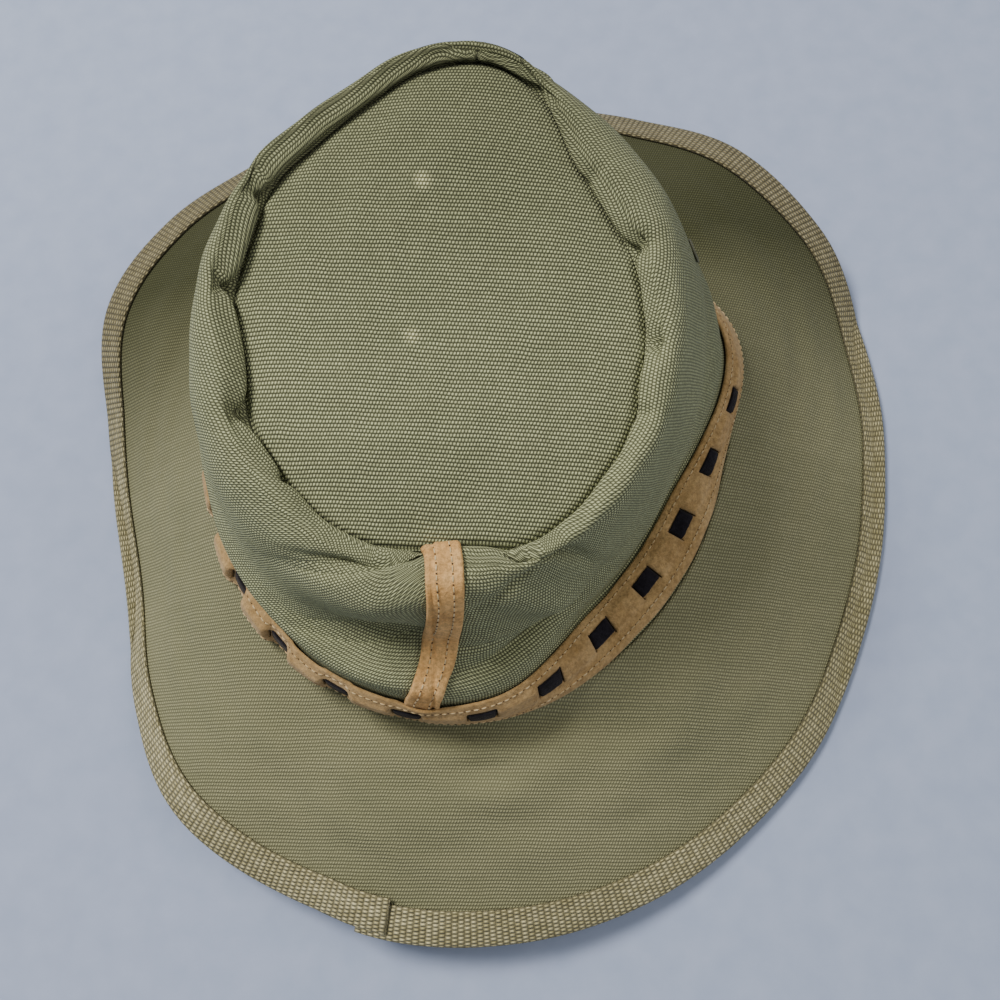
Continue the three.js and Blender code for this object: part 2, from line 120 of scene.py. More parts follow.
# Crown wall for every 30 degrees of turn: lean behind the band in degrees, inset of
# the middle and of the shoulder as shares of half the head width, and how far the
# ridge's crest lies outside the seam and above it, as shares of its sizes
WALL_ROWS = {
    "lean": [33, 26, 15, 12, 15, 18, 22, 20, 7, 14, 72, 72],
    "mid": [0.18, 0.1, 0.09, 0.11, 0.13, 0.12, 0.11, 0.12, 0.14, 0.2, 0.26, 0.25],
    "shoulder": [0.29, 0.22, 0.185, 0.165, 0.235, 0.215, 0.205, 0.195, 0.235, 0.305, 0.33, 0.32],
    "crest": [0.35, 0.35, 0.1, 0.15, 0.32, 0.4, 0.42, 0.42, 0.4, 0.4, 0.35, 0.35],
    "rise": [0.55, 0.55, 0.55, 0.5, 0.65, 0.85, 0.85, 0.8, 0.6, 0.35, 0.45, 0.55],
}

# Inset of the top seam for every 15 degrees, as a share of half the head width
SEAM_SHARES = [
    0.405, 0.397, 0.397, 0.363, 0.25, 0.171, 0.19, 0.253, 0.289, 0.292, 0.318, 0.321,
    0.347, 0.334, 0.342, 0.344, 0.363, 0.399, 0.418, 0.386, 0.389, 0.399, 0.399, 0.413,
]

# All tables of folds, creases, pinches and hollows have these columns: turn, level,
# half width in degrees, half height in levels, depth, and how the level changes with
# each degree. Level 1 of the crown wall is the top of the band, 3 the shoulder, 4 the
# crest and 5 the seam. The folds' depth is a share of FOLD_DEPTH.
FOLDS = [
    (200, 1.45, 45, 0.35, 0.55, 0),
    (325, 1.4, 40, 0.3, 0.25, 0),
    (240, 3.9, 13, 0.2, -0.5, 0.047),
    (246, 2.96, 14, 0.38, 0.4, 0.01),
    (247, 2.2, 13, 0.24, -0.6, 0),
    (248, 1.42, 13, 0.28, 0.35, 0),
    (284, 1.62, 19, 0.22, -0.65, 0.004),
    (286, 2.3, 12, 0.28, 0.45, -0.045),
    (291, 3.4, 11, 0.26, -0.5, -0.1),
    (4, 1.9, 16, 0.28, -0.22, 0.024),
    (180, 4.3, 11, 0.35, 0.15, 0),
    (216, 4.3, 14, 0.35, 0.15, 0),
    (164, 4.7, 4, 0.8, -0.35, 0),
    (194, 4.7, 4, 0.8, -0.35, 0),
    (140, 4.7, 4, 0.8, -0.25, 0),
    (63, 4.6, 4, 0.8, -0.35, 0),
    (18, 4.7, 4, 0.8, -0.3, 0),
    (353, 4.3, 5, 0.5, -0.2, 0),
]

# Way of the back tab down the crown wall: its turn at levels 0, 1, 2 and so on
TAB_TURNS = [256, 256.4, 259.6, 261.8, 261.7, 260.2]
TAB_TOP = 4.7


# Smooth curve from b to c, with a before them and d after
def spline(a, b, c, d, f):
    return b + 0.5 * f * (c - a + f * (2 * a - 5 * b + 4 * c - d + f * (3 * (b - c) + d - a)))


# Smooth closed curve through evenly spaced values
def around(values, turn):
    v = np.asarray(values, float)
    n = len(v)
    u = (np.asarray(turn, float) / 360 * n) % n
    i = np.floor(u).astype(int) % n
    f = u - np.floor(u)
    return spline(v[(i - 1) % n], v[i], v[(i + 1) % n], v[(i + 2) % n], f)


# Smooth open curve through points at levels 0, 1, 2 and so on
def along(points, level):
    ends = [2 * points[0] - points[1], *points, 2 * points[-1] - points[-2]]
    level = np.asarray(level, float)[..., None]
    index = np.clip(np.floor(level), 0, len(points) - 2)
    total = 0
    for i in range(len(points) - 1):
        total = total + np.where(index == i, spline(*ends[i:i + 4], level - i), 0)
    return total


def apart(turn, other):
    return (np.asarray(turn) - other + 180) % 360 - 180


def bell(x):
    return np.exp(-x * x)


# Like a bell, with a sharper middle and longer sides
def crest(x):
    return np.exp(1 - np.sqrt(1 + 4 * x * x))


def smoothstep(x, low, high):
    t = np.clip((x - low) / (high - low), 0, 1)
    return t * t * (3 - 2 * t)


def unit(v):
    return v / np.linalg.norm(v, axis=-1, keepdims=True)


def swelling(turn):
    return sum(
        share * HALF_WIDTH * bell(apart(turn, at) / spread)
        for at, spread, share in SWELLINGS
    )


def line_height(turn):
    return HEAD_HEIGHT - HEAD_FALL * np.cos(np.radians(turn))


# Point at a distance outside the plain head line, at a height
def outside(turn, distance, height):
    t = np.radians(turn)
    nx = HALF_LENGTH * np.cos(t)
    ny = HALF_WIDTH * np.sin(t)
    n = np.hypot(nx, ny)
    x = HALF_WIDTH * np.cos(t) + nx / n * distance
    y = HALF_LENGTH * np.sin(t) + ny / n * distance
    return np.stack(np.broadcast_arrays(x, y, height), -1)


def tip_plane(y):
    return HEAD_HEIGHT + CROWN_HEIGHT + math.tan(math.radians(TIP_SLOPE)) * y


def tip_drop(turn):
    return TIP_EDGE_DROP + TIP_FRONT_DROP * np.clip(np.sin(np.radians(turn)), 0, 1) ** 3


def seam_inset(turn):
    return HALF_WIDTH * around(SEAM_SHARES, turn)


# The shoulder lies below the seam by a share of RIDGE_HEIGHT. The middle line lies
# up the wall, and swells with the head line, by shares of their own.
SHOULDER_DROP = 0.2
MIDDLE_RISE = 0.55
MIDDLE_SWELL = 0.5


# Crown wall as lines at one turn, from under the brim to below the seam
def wall_lines(turn):
    row = {name: around(values, turn) for name, values in WALL_ROWS.items()}
    swell = swelling(turn)
    base = line_height(turn)
    lean = np.radians(row["lean"])
    inset = seam_inset(turn)
    behind = BAND_WIDTH + BAND_MARGIN
    top = tip_plane(outside(turn, -inset, 0)[..., 1]) - tip_drop(turn)
    shoulder = top - SHOULDER_DROP * RIDGE_HEIGHT
    middle = MIDDLE_SWELL * swell - row["mid"] * HALF_WIDTH
    return [
        outside(turn, swell, base - 2 * CANVAS),
        outside(turn, swell, base),
        outside(turn, swell - np.sin(lean) * behind, base + np.cos(lean) * behind),
        outside(turn, middle, base + MIDDLE_RISE * (shoulder - base)),
        outside(turn, -row["shoulder"] * HALF_WIDTH, shoulder),
        outside(turn, row["crest"] * RIDGE_WIDTH - inset, top + row["rise"] * RIDGE_HEIGHT),
        outside(turn, -inset, top),
        outside(turn, -inset - TUCK_LEAN, top - WALL_TUCK),
    ]


def smooth_wall(turn, level):
    turn, level = np.broadcast_arrays(np.asarray(turn, float), np.asarray(level, float))
    lines = wall_lines(turn)
    f = level[..., None]
    low = lines[0] + (lines[1] - lines[0]) * (f + 1)
    mid = lines[1] + (lines[2] - lines[1]) * f
    return np.where(f < 0, low, np.where(f < 1, mid, along(lines[1:], level)))


# Direction that a surface faces, from its slopes over small steps
def facing(surface, a, b, da, db):
    u = surface(a + da, b) - surface(a - da, b)
    v = surface(a, b + db) - surface(a, b - db)
    return unit(np.cross(u, v))


# Sum of a table's rows, each with one shape round the hat and one up it
def relief(rows, turn, level, round_it=bell, up=bell):
    total = 0
    for at, middle, spread, tall, depth, lean in rows:
        away = apart(turn, at)
        off = (level - middle - lean * away) / tall
        total = total + depth * round_it(away / spread) * up(off)
    return total


def fold_depth(turn, level):
    depth = FOLD_DEPTH * relief(FOLDS, turn, level)
    return depth * smoothstep(level, 1, 1.35) * (1 - smoothstep(level, 4.8, 5.4))


# Middle of the crown wall's thickness
def wall(turn, level):
    depth = fold_depth(turn, level)[..., None]
    return smooth_wall(turn, level) + facing(smooth_wall, turn, level, 0.5, 0.02) * depth


def wall_facing(turn, level):
    return facing(wall, turn, level, 0.4, 0.02)


# Height of cloth that settles softly on the floor
def rested(height):
    over = height - FLOOR_HEIGHT
    soft = FLOOR_HEIGHT + np.maximum(over + FLOOR_BEND, 0) ** 2 / (4 * FLOOR_BEND)
    return np.where(over > FLOOR_BEND, height, soft)


def brim_width(turn):
    return BRIM_WIDTH * around(BRIM_SHARES, turn)


BRIM_STEPS = 8


# Middle of the brim's thickness, from 0 at the crown to 1 at the edge
def brim(turn, reach):
    turn, reach = np.broadcast_arrays(np.asarray(turn, float), np.asarray(reach, float))
    slope = around(BRIM_SLOPES, turn)
    width = brim_width(turn)
    flat = 0
    drop = 0
    for i in range(BRIM_STEPS):
        s = np.radians(slope - BRIM_CURL + 2 * BRIM_CURL * reach * (i + 0.5) / BRIM_STEPS)
        flat = flat + np.cos(s) * reach * width / BRIM_STEPS
        drop = drop + np.sin(s) * reach * width / BRIM_STEPS
    tilted = np.sin(np.radians(slope)) * CANVAS / 2
    start = swelling(turn) + CANVAS / 2 + SEAM_GAP + tilted
    return outside(turn, start + flat, rested(line_height(turn) - drop))


def brim_facing(turn, reach):
    return -facing(brim, turn, reach, 0.5, 0.01)


# The frame's origin is under the middle of the whole hat, and the head line's own
# middle lies beside it
def tip_rim(turn):
    return outside(turn, -(seam_inset(turn) + CANVAS / 2 + SEAM_GAP), 0)


CAD_TURNS = np.arange(0, 360, 6)
TIP_LOW = np.array(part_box("crown_tip")[0]) / MM
MIDDLE = np.array([*(tip_rim(CAD_TURNS)[:, :2].min(0) - TIP_LOW[:2]), 0])


def to_frame(points):
    return (np.asarray(points, float) - MIDDLE) * MM


# Faces of a lattice of n rows by m points, closed either way where asked
def lattice_faces(n, m, closed_rows=False, closed_points=False):
    i = np.arange(n if closed_rows else n - 1)[:, None]
    j = np.arange(m if closed_points else m - 1)[None, :]
    i2 = (i + 1) % n
    j2 = (j + 1) % m
    corners = [i * m + j, i2 * m + j, i2 * m + j2, i * m + j2]
    return np.stack(np.broadcast_arrays(*corners), -1).reshape(-1, 4)


# Faces of a tube through n loops of m points, closed at both ends
def tube_faces(n, m):
    k = np.arange(m // 2 - 1)
    end = np.stack([k, k + 1, m - 2 - k, m - 1 - k], -1)
    return np.concatenate([lattice_faces(n, m, False, True), end, end[:, ::-1] + (n - 1) * m])


# Length along each line of points, from its start
def lengths_along(points, axis=0):
    steps = np.linalg.norm(np.diff(points, axis=axis), axis=-1)
    start = np.zeros_like(np.take(steps, [0], axis))
    return np.concatenate([start, np.cumsum(steps, axis=axis)], axis)


def signed_volume(points, faces):
    a, b, c, d = (points[faces[:, k]] for k in range(4))
    return np.sum(np.cross(a, b) * c) + np.sum(np.cross(a, c) * d)


# A mesh piece that rides on the one body. thread holds two cloth coordinates in mm
# for each point.
def make_piece(name, points, faces, material, slot, thread=None, replaces=()):
    points = to_frame(np.asarray(points, float).reshape(-1, 3))
    faces = np.asarray(faces, int)
    if signed_volume(points, faces) < 0:
        faces = faces[:, ::-1]
    mesh = bpy.data.meshes.new(name)
    mesh.vertices.add(len(points))
    mesh.vertices.foreach_set("co", points.ravel())
    mesh.loops.add(faces.size)
    mesh.loops.foreach_set("vertex_index", faces.ravel())
    mesh.polygons.add(len(faces))
    mesh.polygons.foreach_set("loop_start", np.arange(len(faces)) * 4)
    mesh.update(calc_edges=True)
    mesh.validate()
    mesh.shade_smooth()
    if thread is not None:
        values = np.zeros((len(points), 3))
        values[:, :2] = np.asarray(thread, float).reshape(-1, 2)
        attribute = mesh.attributes.new("thread", "FLOAT_VECTOR", "POINT")
        attribute.data.foreach_set("vector", values.ravel())
    mesh.materials.append(material)
    obj = bpy.data.objects.new(name, mesh)
    bpy.context.scene.collection.objects.link(obj)
    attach(obj, "root")
    if replaces:
        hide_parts(*replaces)


# Soft unevenness of worn cloth, from a few waves that close round the hat, each with
# its count, its tilt over the levels and its phase
def unevenness(turn, level, size, waves):
    t = np.radians(turn)
    total = 0
    for count, tilt, phase in waves:
        total = total + np.sin(count * t + tilt * level + phase)
    return size * total / len(waves)


WALL_WAVES = [(5, 1.3, 0.4), (9, -2.1, 1.9), (14, 3.2, 4.1), (23, -4.3, 2.7)]
BRIM_WAVES = [(3, 2.2, 0.9), (7, -3.1, 2.4), (11, 5.2, 5.3), (17, -7.4, 1.2)]
TIP_WAVES = [(2, 3.1, 0.3), (5, -4.2, 2.2), (9, 6.1, 3.8)]


# Turns of the meshes' columns. They lie closer at the crown's two upright seams, at
# these turns to either side.
EVEN_TURNS = np.arange(0, 360, 0.75)
UPRIGHT_SEAMS = (FRONT_SEAM, BACK_SEAM)
SEAM_SIDE = np.array([0.1, 0.25, 0.45, 0.7, 1.2, 2.2]) * 0.8
SEAM_COLUMNS = np.concatenate([-SEAM_SIDE[::-1], SEAM_SIDE])
SEAM_CLEAR = 2


def wall_turns():
    even = EVEN_TURNS
    for seam in UPRIGHT_SEAMS:
        even = even[np.abs(apart(even, seam)) > SEAM_CLEAR]
    dense = [seam + SEAM_COLUMNS for seam in UPRIGHT_SEAMS]
    return np.sort(np.concatenate([even, *dense]) % 360)


# An upright seam is a narrow dent between two low swellings: depth and half width of
# the dent, and height, distance and half width of the swellings
SEAM_DENT = 0.7
SEAM_DENT_HALF = 0.6
SEAM_WELT = 0.25
SEAM_WELT_AWAY = 2
SEAM_WELT_HALF = 1.2


def seam_dent(turn, level):
    total = 0
    for seam in UPRIGHT_SEAMS:
        away = apart(turn, seam) * math.pi / 180 * HALF_WIDTH
        dent = SEAM_DENT * bell(away / SEAM_DENT_HALF)
        welt = SEAM_WELT * bell((np.abs(away) - SEAM_WELT_AWAY) / SEAM_WELT_HALF)
        total = total - dent + welt
    return total * smoothstep(level, -0.5, 0.6)


# Sharp creases between the folds, their depth in mm
CREASES = [
    (236, 3.4, 12, 0.17, -3.8, 0.045),
    (242, 2.03, 12, 0.16, -3.8, 0.015),
    (231, 1.7, 7, 0.08, -1.2, 0.03),
    (272, 1.9, 8, 0.09, -1.6, -0.01),
    (284, 1.62, 16, 0.1, -1.8, 0.004),
    (278, 2.95, 9, 0.1, -1.6, 0.03),
    (288, 3.5, 9, 0.11, -2.0, -0.09),
]

# Pinches across the ridge, sharp along it, their depth in mm
PINCHES = [
    (163, 4.72, 2.0, 0.24, -3.4, 0),
    (192, 4.72, 2.0, 0.24, -3.4, 0),
    (141, 4.72, 2.0, 0.24, -3.0, 0),
    (212, 4.72, 2.2, 0.24, -2.2, 0),
    (40, 4.5, 2.6, 0.5, -1.2, 0),
    (18, 4.4, 2.6, 0.6, -2.6, 0),
    (353, 4.3, 3.0, 0.5, -2.0, 0),
    (335, 4.5, 2.4, 0.5, -1.6, 0),
]


# The ridge is rounder than its plain line: how far it swells towards the seam, all
# round and at the left, and the middle and half height of the swelling in levels
RIDGE_SWELL = 1.8
LEFT_SWELL = 1.4
SWELL_LEVEL = 4.64
SWELL_TALL = 0.24


def ridge_swell(turn, level):
    most = RIDGE_SWELL + LEFT_SWELL * bell(apart(turn, 150) / 60)
    return most * bell((level - SWELL_LEVEL) / SWELL_TALL) * (1 - smoothstep(level, 4.88, 5))


# Outer face of the crown wall, with a share of its creases. They and its unevenness
# fade out behind the band and towards the seam.
def wall_outer(turn, level, share=1.0):
    creases = relief(CREASES, turn, level, up=crest) * share
    rough = unevenness(turn, level, 0.5, WALL_WAVES) + creases
    free = smoothstep(level, 1.1, 1.8) * (1 - smoothstep(level, 4.5, 5))
    pinches = relief(PINCHES, turn, level, round_it=crest) * (1 - smoothstep(level, 4.85, 5.1))
    lift = CANVAS / 2 + rough * free + ridge_swell(turn, level) + pinches + seam_dent(turn, level)
    return wall(turn, level) + wall_facing(turn, level) * lift[..., None]


def wall_inner(turn, level):
    return wall(turn, level) - wall_facing(turn, level) * CANVAS / 2


# Cloth coordinates of the side panels: lengths round the crown from each panel's
# middle, and lengths up the wall
def panel_thread(turn, points):
    since = (turn[:, 0] - FRONT_SEAM) % 360
    order = np.argsort(since)
    round_it = lengths_along(points[order])
    for panel in (0, 1):
        own = (since[order] // 180) == panel
        middle = np.argmin(np.abs(since[order] - 90 - 180 * panel))
        round_it[own] = round_it[own] - round_it[middle]
    u = np.empty_like(round_it)
    u[order] = round_it
    return np.stack([u, lengths_along(points, 1)], -1)


# Rows of the wall's outer face, in stretches of levels, and of its inner face
WALL_STRETCHES = [(-1, 1.2, 15), (1.2, 3.4, 49), (3.4, 5.2, 49), (5.2, 5.7, 7)]
INNER_ROWS = 40


# Crown sides: two panels joined by upright seams at the front and the back
def crown_sides(material):
    turn = wall_turns()[:, None]
    stretches = [np.linspace(a, b, steps + 1)[:-1] for a, b, steps in WALL_STRETCHES]
    low, high = WALL_STRETCHES[0][0], WALL_STRETCHES[-1][1]
    up = np.append(np.concatenate(stretches), high)[None, :]
    down = np.linspace(high, low, INNER_ROWS)[None, :]
    outer = wall_outer(turn, up)
    inner = wall_inner(turn, down)
    thread = np.concatenate([
        panel_thread(turn, outer),
        panel_thread(turn, inner[:, ::-1])[:, ::-1],
    ], 1)
    loops = np.concatenate([outer, inner], 1)
    n, m = loops.shape[:2]
    faces = lattice_faces(n, m, True, True)
    make_piece("crown_sides", loops, faces, material, "canvas", thread,
               ("crown_side_left", "crown_side_right"))


# Cloth coordinates of points seen from above, with the rows turned by a tilt
def grain(points, tilt):
    c = math.cos(math.radians(tilt))
    s = math.sin(math.radians(tilt))
    x = points[..., 0]
    y = points[..., 1]
    return np.stack([c * x - s * y, s * x + c * y], -1)


# Top panel: a dished disc in rings whose edge turns down into the seam
TIP_GRAIN_TILT = 8.3
TIP_TURNED = 2.8
TIP_RINGS = np.concatenate([np.linspace(0.01, 0.9, 45), np.linspace(0.915, 1, 16)])
UNDER_RINGS = TIP_RINGS[::3]

# Worn spots on it: two cloth coordinates and a size in mm, and how pale each is
TIP_SPOTS = [(-9.9, 43.6, 3.4, 0.72), (-11.2, -1.0, 3.2, 0.72)]


def tip_surface(turn, share, side):
    inset = seam_inset(turn) + CANVAS / 2 + SEAM_GAP
    rim = outside(turn, -inset, 0)
    middle = np.array([-0.1 * HALF_WIDTH, 0.1 * HALF_LENGTH, 0])
    p = middle + (rim - middle) * share[..., None]
    rough = unevenness(turn, share * 3, 0.7, TIP_WAVES) * share
    rough = rough * (1 - smoothstep(share, 0.85, 1))
    turned = TIP_TURNED * (0.35 + 0.65 * bell(apart(turn, 220) / 70))
    edge = turned * smoothstep(share, 0.95, 1.0) ** 2
    height = tip_plane(p[..., 1]) - tip_drop(turn) * share ** 4 + side * CANVAS / 2 + rough
    return np.concatenate([p[..., :2], (height - edge * (side > 0))[..., None]], -1)


def crown_tip(material):
    turn = EVEN_TURNS[:, None]
    top = tip_surface(turn, TIP_RINGS[None, :], 1)
    under = tip_surface(turn, UNDER_RINGS[None, :], -1)[:, ::-1]
    loops = np.concatenate([top, under], 1)
    n, m = loops.shape[:2]
    faces = lattice_faces(n, m, True, False)
    hubs = [loops[:, 0].mean(0), loops[:, -1].mean(0)]
    points = np.concatenate([loops.reshape(-1, 3), hubs])
    ring = np.arange(n) * m
    a, b, c = (np.roll(ring, -k)[::2] for k in range(3))
    hub = np.full(len(a), n * m)
    cap_top = np.stack([c, b, a, hub], -1)
    cap_low = np.stack([a + m - 1, b + m - 1, c + m - 1, hub + 1], -1)
    faces = np.concatenate([faces, cap_top, cap_low])
    thread = grain(points, TIP_GRAIN_TILT)
    thread[:, 1] /= math.cos(math.radians(TIP_SLOPE))
    make_piece("crown_top", points, faces, material, "canvas", thread, ("crown_tip",))


# Brim: one sheet whose inner edge is tucked under the crown by a share of its width
BRIM_GRAIN_TILT = 5.8
BRIM_TUCK = -0.028
BRIM_ROWS = 72

# Its soft hollows near the band, with shares of the reach as levels, and their depth
# in mm
BRIM_HOLLOWS = [
    (262, 0.07, 14, 0.09, -5.0, 0),
    (266, 0.23, 7, 0.06, -3.0, 0),
    (281, 0.12, 9, 0.1, -5.4, 0),
    (290, 0.22, 7, 0.14, -3.2, 0),
    (304, 0.3, 8, 0.22, 2.4, 0),
    (250, 0.42, 13, 0.2, 1.6, 0),
    (268, 0.36, 7, 0.08, 1.2, 0),
    (232, 0.2, 12, 0.2, -1.0, 0),
]


def brim_relief(turn, reach):
    rough = unevenness(turn, reach * 4, 0.8, BRIM_WAVES) * smoothstep(reach, 0.05, 0.4)
    return rough * (1 - smoothstep(reach, 0.6, 0.8)) + relief(BRIM_HOLLOWS, turn, reach)


def brim_face(turn, reach, side):
    lift = side * CANVAS / 2 + brim_relief(turn, reach)
    return brim(turn, reach) + brim_facing(turn, reach) * lift[..., None]


def brim_sheet(material):
    turn = EVEN_TURNS[:, None]
    out = np.linspace(BRIM_TUCK, 1, BRIM_ROWS)[None, :]
    back = np.linspace(1, BRIM_TUCK, BRIM_ROWS // 2)[None, :]
    loops = np.concatenate([brim_face(turn, out, 1), brim_face(turn, back, -1)], 1)
    faces = lattice_faces(*loops.shape[:2], True, True)
    thread = grain(loops, BRIM_GRAIN_TILT)
    make_piece("brim_cloth", loops, faces, material, "canvas", thread, ("brim",))


# Binding: a tape folded over the brim's edge, its ends lapped at the back left. At
# the lap the later end moves in by LAP_SHIFT, over its last turns, and lies on the
# first one.
LAP_START = 251.3
LAP_TURNS = 3.9
LAP_SHIFT = 2.6
LAP_SHIFT_TURNS = 16
LAP_RAISE_TURNS = 5
LAP_ROOM = 0.15
TAPE_TURN_STEP = 0.45
TAPE_RIB = 2.2
TAPE_DOT = 1.42

# Its edges are thinner, and its fold is a half round from FOLD_START inside the edge
TAPE_EDGE_DROP = 0.35
FOLD_START = 0.4
FOLD_ROOM = 0.75
FOLD_ANGLES = np.linspace(0.2, math.pi - 0.2, 11)
FLAT_START = 0.12


def tape_profile():
    near = CANVAS / 2 + SEAM_GAP
    far = near + TAPE
    edge = -(SEAM_GAP + EDGE_ROOM)
    fold = NOSE + FOLD_ROOM + FOLD_START
    over = [(TAPE_WIDTH * s, far) for s in np.linspace(1, FLAT_START, 14)]
    over[0] = (TAPE_WIDTH, far - TAPE_EDGE_DROP)
    arc = [(FOLD_START - math.sin(a) * fold, math.cos(a) * far) for a in FOLD_ANGLES]
    under = [(TAPE_WIDTH * s, -far) for s in np.linspace(FLAT_START, 1, 8)]
    inside = [(TAPE_WIDTH, -near), (TAPE_WIDTH / 2, -near), (edge, -near), (edge, near),
              (TAPE_WIDTH / 2, near), (TAPE_WIDTH, near)]
    return np.array(over + arc + under + inside)


def binding(material):
    profile = tape_profile()
    turn = np.arange(LAP_START, LAP_START + 360 + LAP_TURNS, TAPE_TURN_STEP)
    done = turn - LAP_START
    shift = LAP_SHIFT * smoothstep(done, 360 - LAP_SHIFT_TURNS, 360)
    raised = (TAPE + LAP_ROOM) * smoothstep(done, 360 - LAP_RAISE_TURNS, 360 - 0.5)
    inward = profile[None, :, 0] + shift[:, None]
    height = profile[None, :, 1] + raised[:, None] * np.sign(profile[None, :, 1])
    reach = 1 - inward / brim_width(turn)[:, None]
    ways = np.broadcast_to(turn[:, None], reach.shape)
    up = brim_facing(ways, np.minimum(reach, 1))
    loops = brim(ways, reach) + up * height[..., None]
    faces = tube_faces(*loops.shape[:2])
    u = lengths_along(brim(turn, np.ones(len(turn))))[:, None]
    v = lengths_along(profile)[None, :]
    thread = np.stack(np.broadcast_arrays(u, v), -1)
    make_piece("binding_tape", loops, faces, material, "binding_tape", thread, ("brim_binding",))


# Suede band: a frame along the middle of the crown wall behind it, between the levels
# of its foot and its head
BAND_FOOT = BAND_RISE / (BAND_WIDTH + BAND_MARGIN)
BAND_HEAD = 0.95


def band_axes(turn):
    turn = np.asarray(turn, float)
    level = np.full_like(turn, BAND_FOOT)
    foot = wall(turn, level)
    up = unit(wall(turn, np.full_like(turn, BAND_HEAD)) - foot)
    ahead = unit(wall(turn + 0.5, level) - wall(turn - 0.5, level))
    return foot, up, unit(np.cross(ahead, up))


def band_place(turn, across, lift):
    foot, up, out = band_axes(turn)
    lift = CANVAS / 2 + np.asarray(lift)
    return foot + up * np.asarray(across)[..., None] + out * lift[..., None]


# Length along the middle of the band for every tenth of a degree
LENGTH_TURNS = np.arange(0, 3601) / 10
LENGTHS = lengths_along(band_place(LENGTH_TURNS, BAND_WIDTH / 2, BAND_LIFT))
BAND_ROUND = LENGTHS[-1]


def turn_at(length):
    length = np.asarray(length, float)
    whole = np.floor(length / BAND_ROUND)
    return 360 * whole + np.interp(length - whole * BAND_ROUND, LENGTHS, LENGTH_TURNS)


# Windows by their lengths along the band. A pair of slits bounds each, from CUT_LOW to
# SLIT_HIGH across the band.
WINDOW_COUNT = int((BAND_ROUND - PLAIN_SPAN) // WINDOW_PITCH) + 1
WINDOWS = LAST_WINDOW - WINDOW_PITCH * np.arange(WINDOW_COUNT - 1, -1, -1)
SLIT_HIGH = (BAND_WIDTH + SLIT_LENGTH) / 2
SLIT_GAP = 0.5
SLIT_ROOM = 0.9
CUT_LOW = SLIT_HIGH - LACE_GAP - LACE_WIDTH - SLIT_ROOM

# Relief of the suede: it puffs between windows and is pressed in at them, more so at
# the left, and its edges are pulled in to the crown
PUFF = 0.9
PRESS = 0.5
LEFT_PUFF = 1.3
LEFT_PRESS = 1.5
EDGE_PULL_HIGH = 1.4
LEFT_PULL_HIGH = 1.2
EDGE_PULL_LOW = 0.9
MOST_PULL = BAND_LIFT - 0.1

# The band is narrower at the right, its lower edge drawn up there
NARROWED = 3.6


def apart_length(length, other):
    return (length - other + BAND_ROUND / 2) % BAND_ROUND - BAND_ROUND / 2


# Distance from the middle of the nearest window
def window_distance(length):
    near = WINDOWS[np.argmin(np.abs(apart_length(length[..., None], WINDOWS)), -1)]
    return np.abs(apart_length(length, near))


def drawn_up(turn, across):
    return across + NARROWED * bell(apart(turn, 358) / 13) * (1 - across / BAND_WIDTH)


# Share of the tighter and puffier left part of the band
def band_left(length):
    return bell(apart(turn_at(length), 212) / 30)


# How far the suede stands out of its plain place, each share changing over a few mm.
# The tab's foot keeps the upper edge out at its own turn.
def band_relief(length, across):
    turn = turn_at(length)
    away = window_distance(length)
    between = smoothstep(across, CUT_LOW - 0.9, CUT_LOW + 1.2)
    between = between * (1 - smoothstep(across, SLIT_HIGH - 1.2, SLIT_HIGH + 0.9))
    over = smoothstep(away, WINDOW_WIDTH / 2, WINDOW_WIDTH / 2 + 0.5)
    fade = 1 - smoothstep(away, WINDOW_PITCH / 2, WINDOW_PITCH / 2 + 9)
    left = band_left(length)
    soft = smoothstep(away, WINDOW_WIDTH / 2 - 2, WINDOW_WIDTH / 2 + 2)
    whole = left * (LEFT_PUFF * soft - LEFT_PRESS * (1 - soft))
    high = EDGE_PULL_HIGH + LEFT_PULL_HIGH * left
    high = high * smoothstep(across, BAND_WIDTH - 4.5, BAND_WIDTH)
    low = EDGE_PULL_LOW * (1 - smoothstep(across, 0, 3))
    edges = high * (1 - bell(apart(turn, TAB_TURNS[0]) / 4)) + low
    puffs = between * (PUFF * over * fade - PRESS * (1 - over))
    return np.maximum(puffs + whole - edges, -MOST_PULL)


# Waves of the suede's edges
EDGE_WAVES = [(9, 0, 0.5), (16, 0, 2.0), (25, 0, 4.0)]

# Rounding of the band's edges: how much, and over what width
EDGE_ROUND = 0.45
EDGE_ROUND_WIDTH = 0.8


# Columns of the band's mesh along it, each with whether a slit follows it
def band_columns():
    half = SLIT_GAP / 2
    columns = []
    for k, w in enumerate(WINDOWS):
        left = w - WINDOW_WIDTH / 2
        right = w + WINDOW_WIDTH / 2
        following = WINDOWS[k + 1] if k + 1 < WINDOW_COUNT else WINDOWS[0] + BAND_ROUND
        free = following - WINDOW_WIDTH / 2 - half - (right + half)
        inside = np.linspace(left + half, right - half, 10)[1:-1]
        beyond = np.linspace(right + half, right + half + free, int(free) + 1)[1:-1]
        columns += [(left - half, True), (left + half, False)]
        columns += [(s, False) for s in inside]
        columns += [(right - half, True), (right + half, False)]
        columns += [(s, False) for s in beyond]
    return np.array([c[0] for c in columns]), np.array([c[1] for c in columns])


# Rows of the band's mesh across it
BAND_ROWS = np.concatenate([
    [0, 0.25],
    np.linspace(0.8, CUT_LOW - 0.4, 5),
    [CUT_LOW],
    np.linspace(CUT_LOW + 0.6, SLIT_HIGH - 0.6, 8),
    [SLIT_HIGH],
    np.linspace(SLIT_HIGH + 0.4, BAND_WIDTH - 0.8, 4),
    [BAND_WIDTH - 0.25, BAND_WIDTH],
])


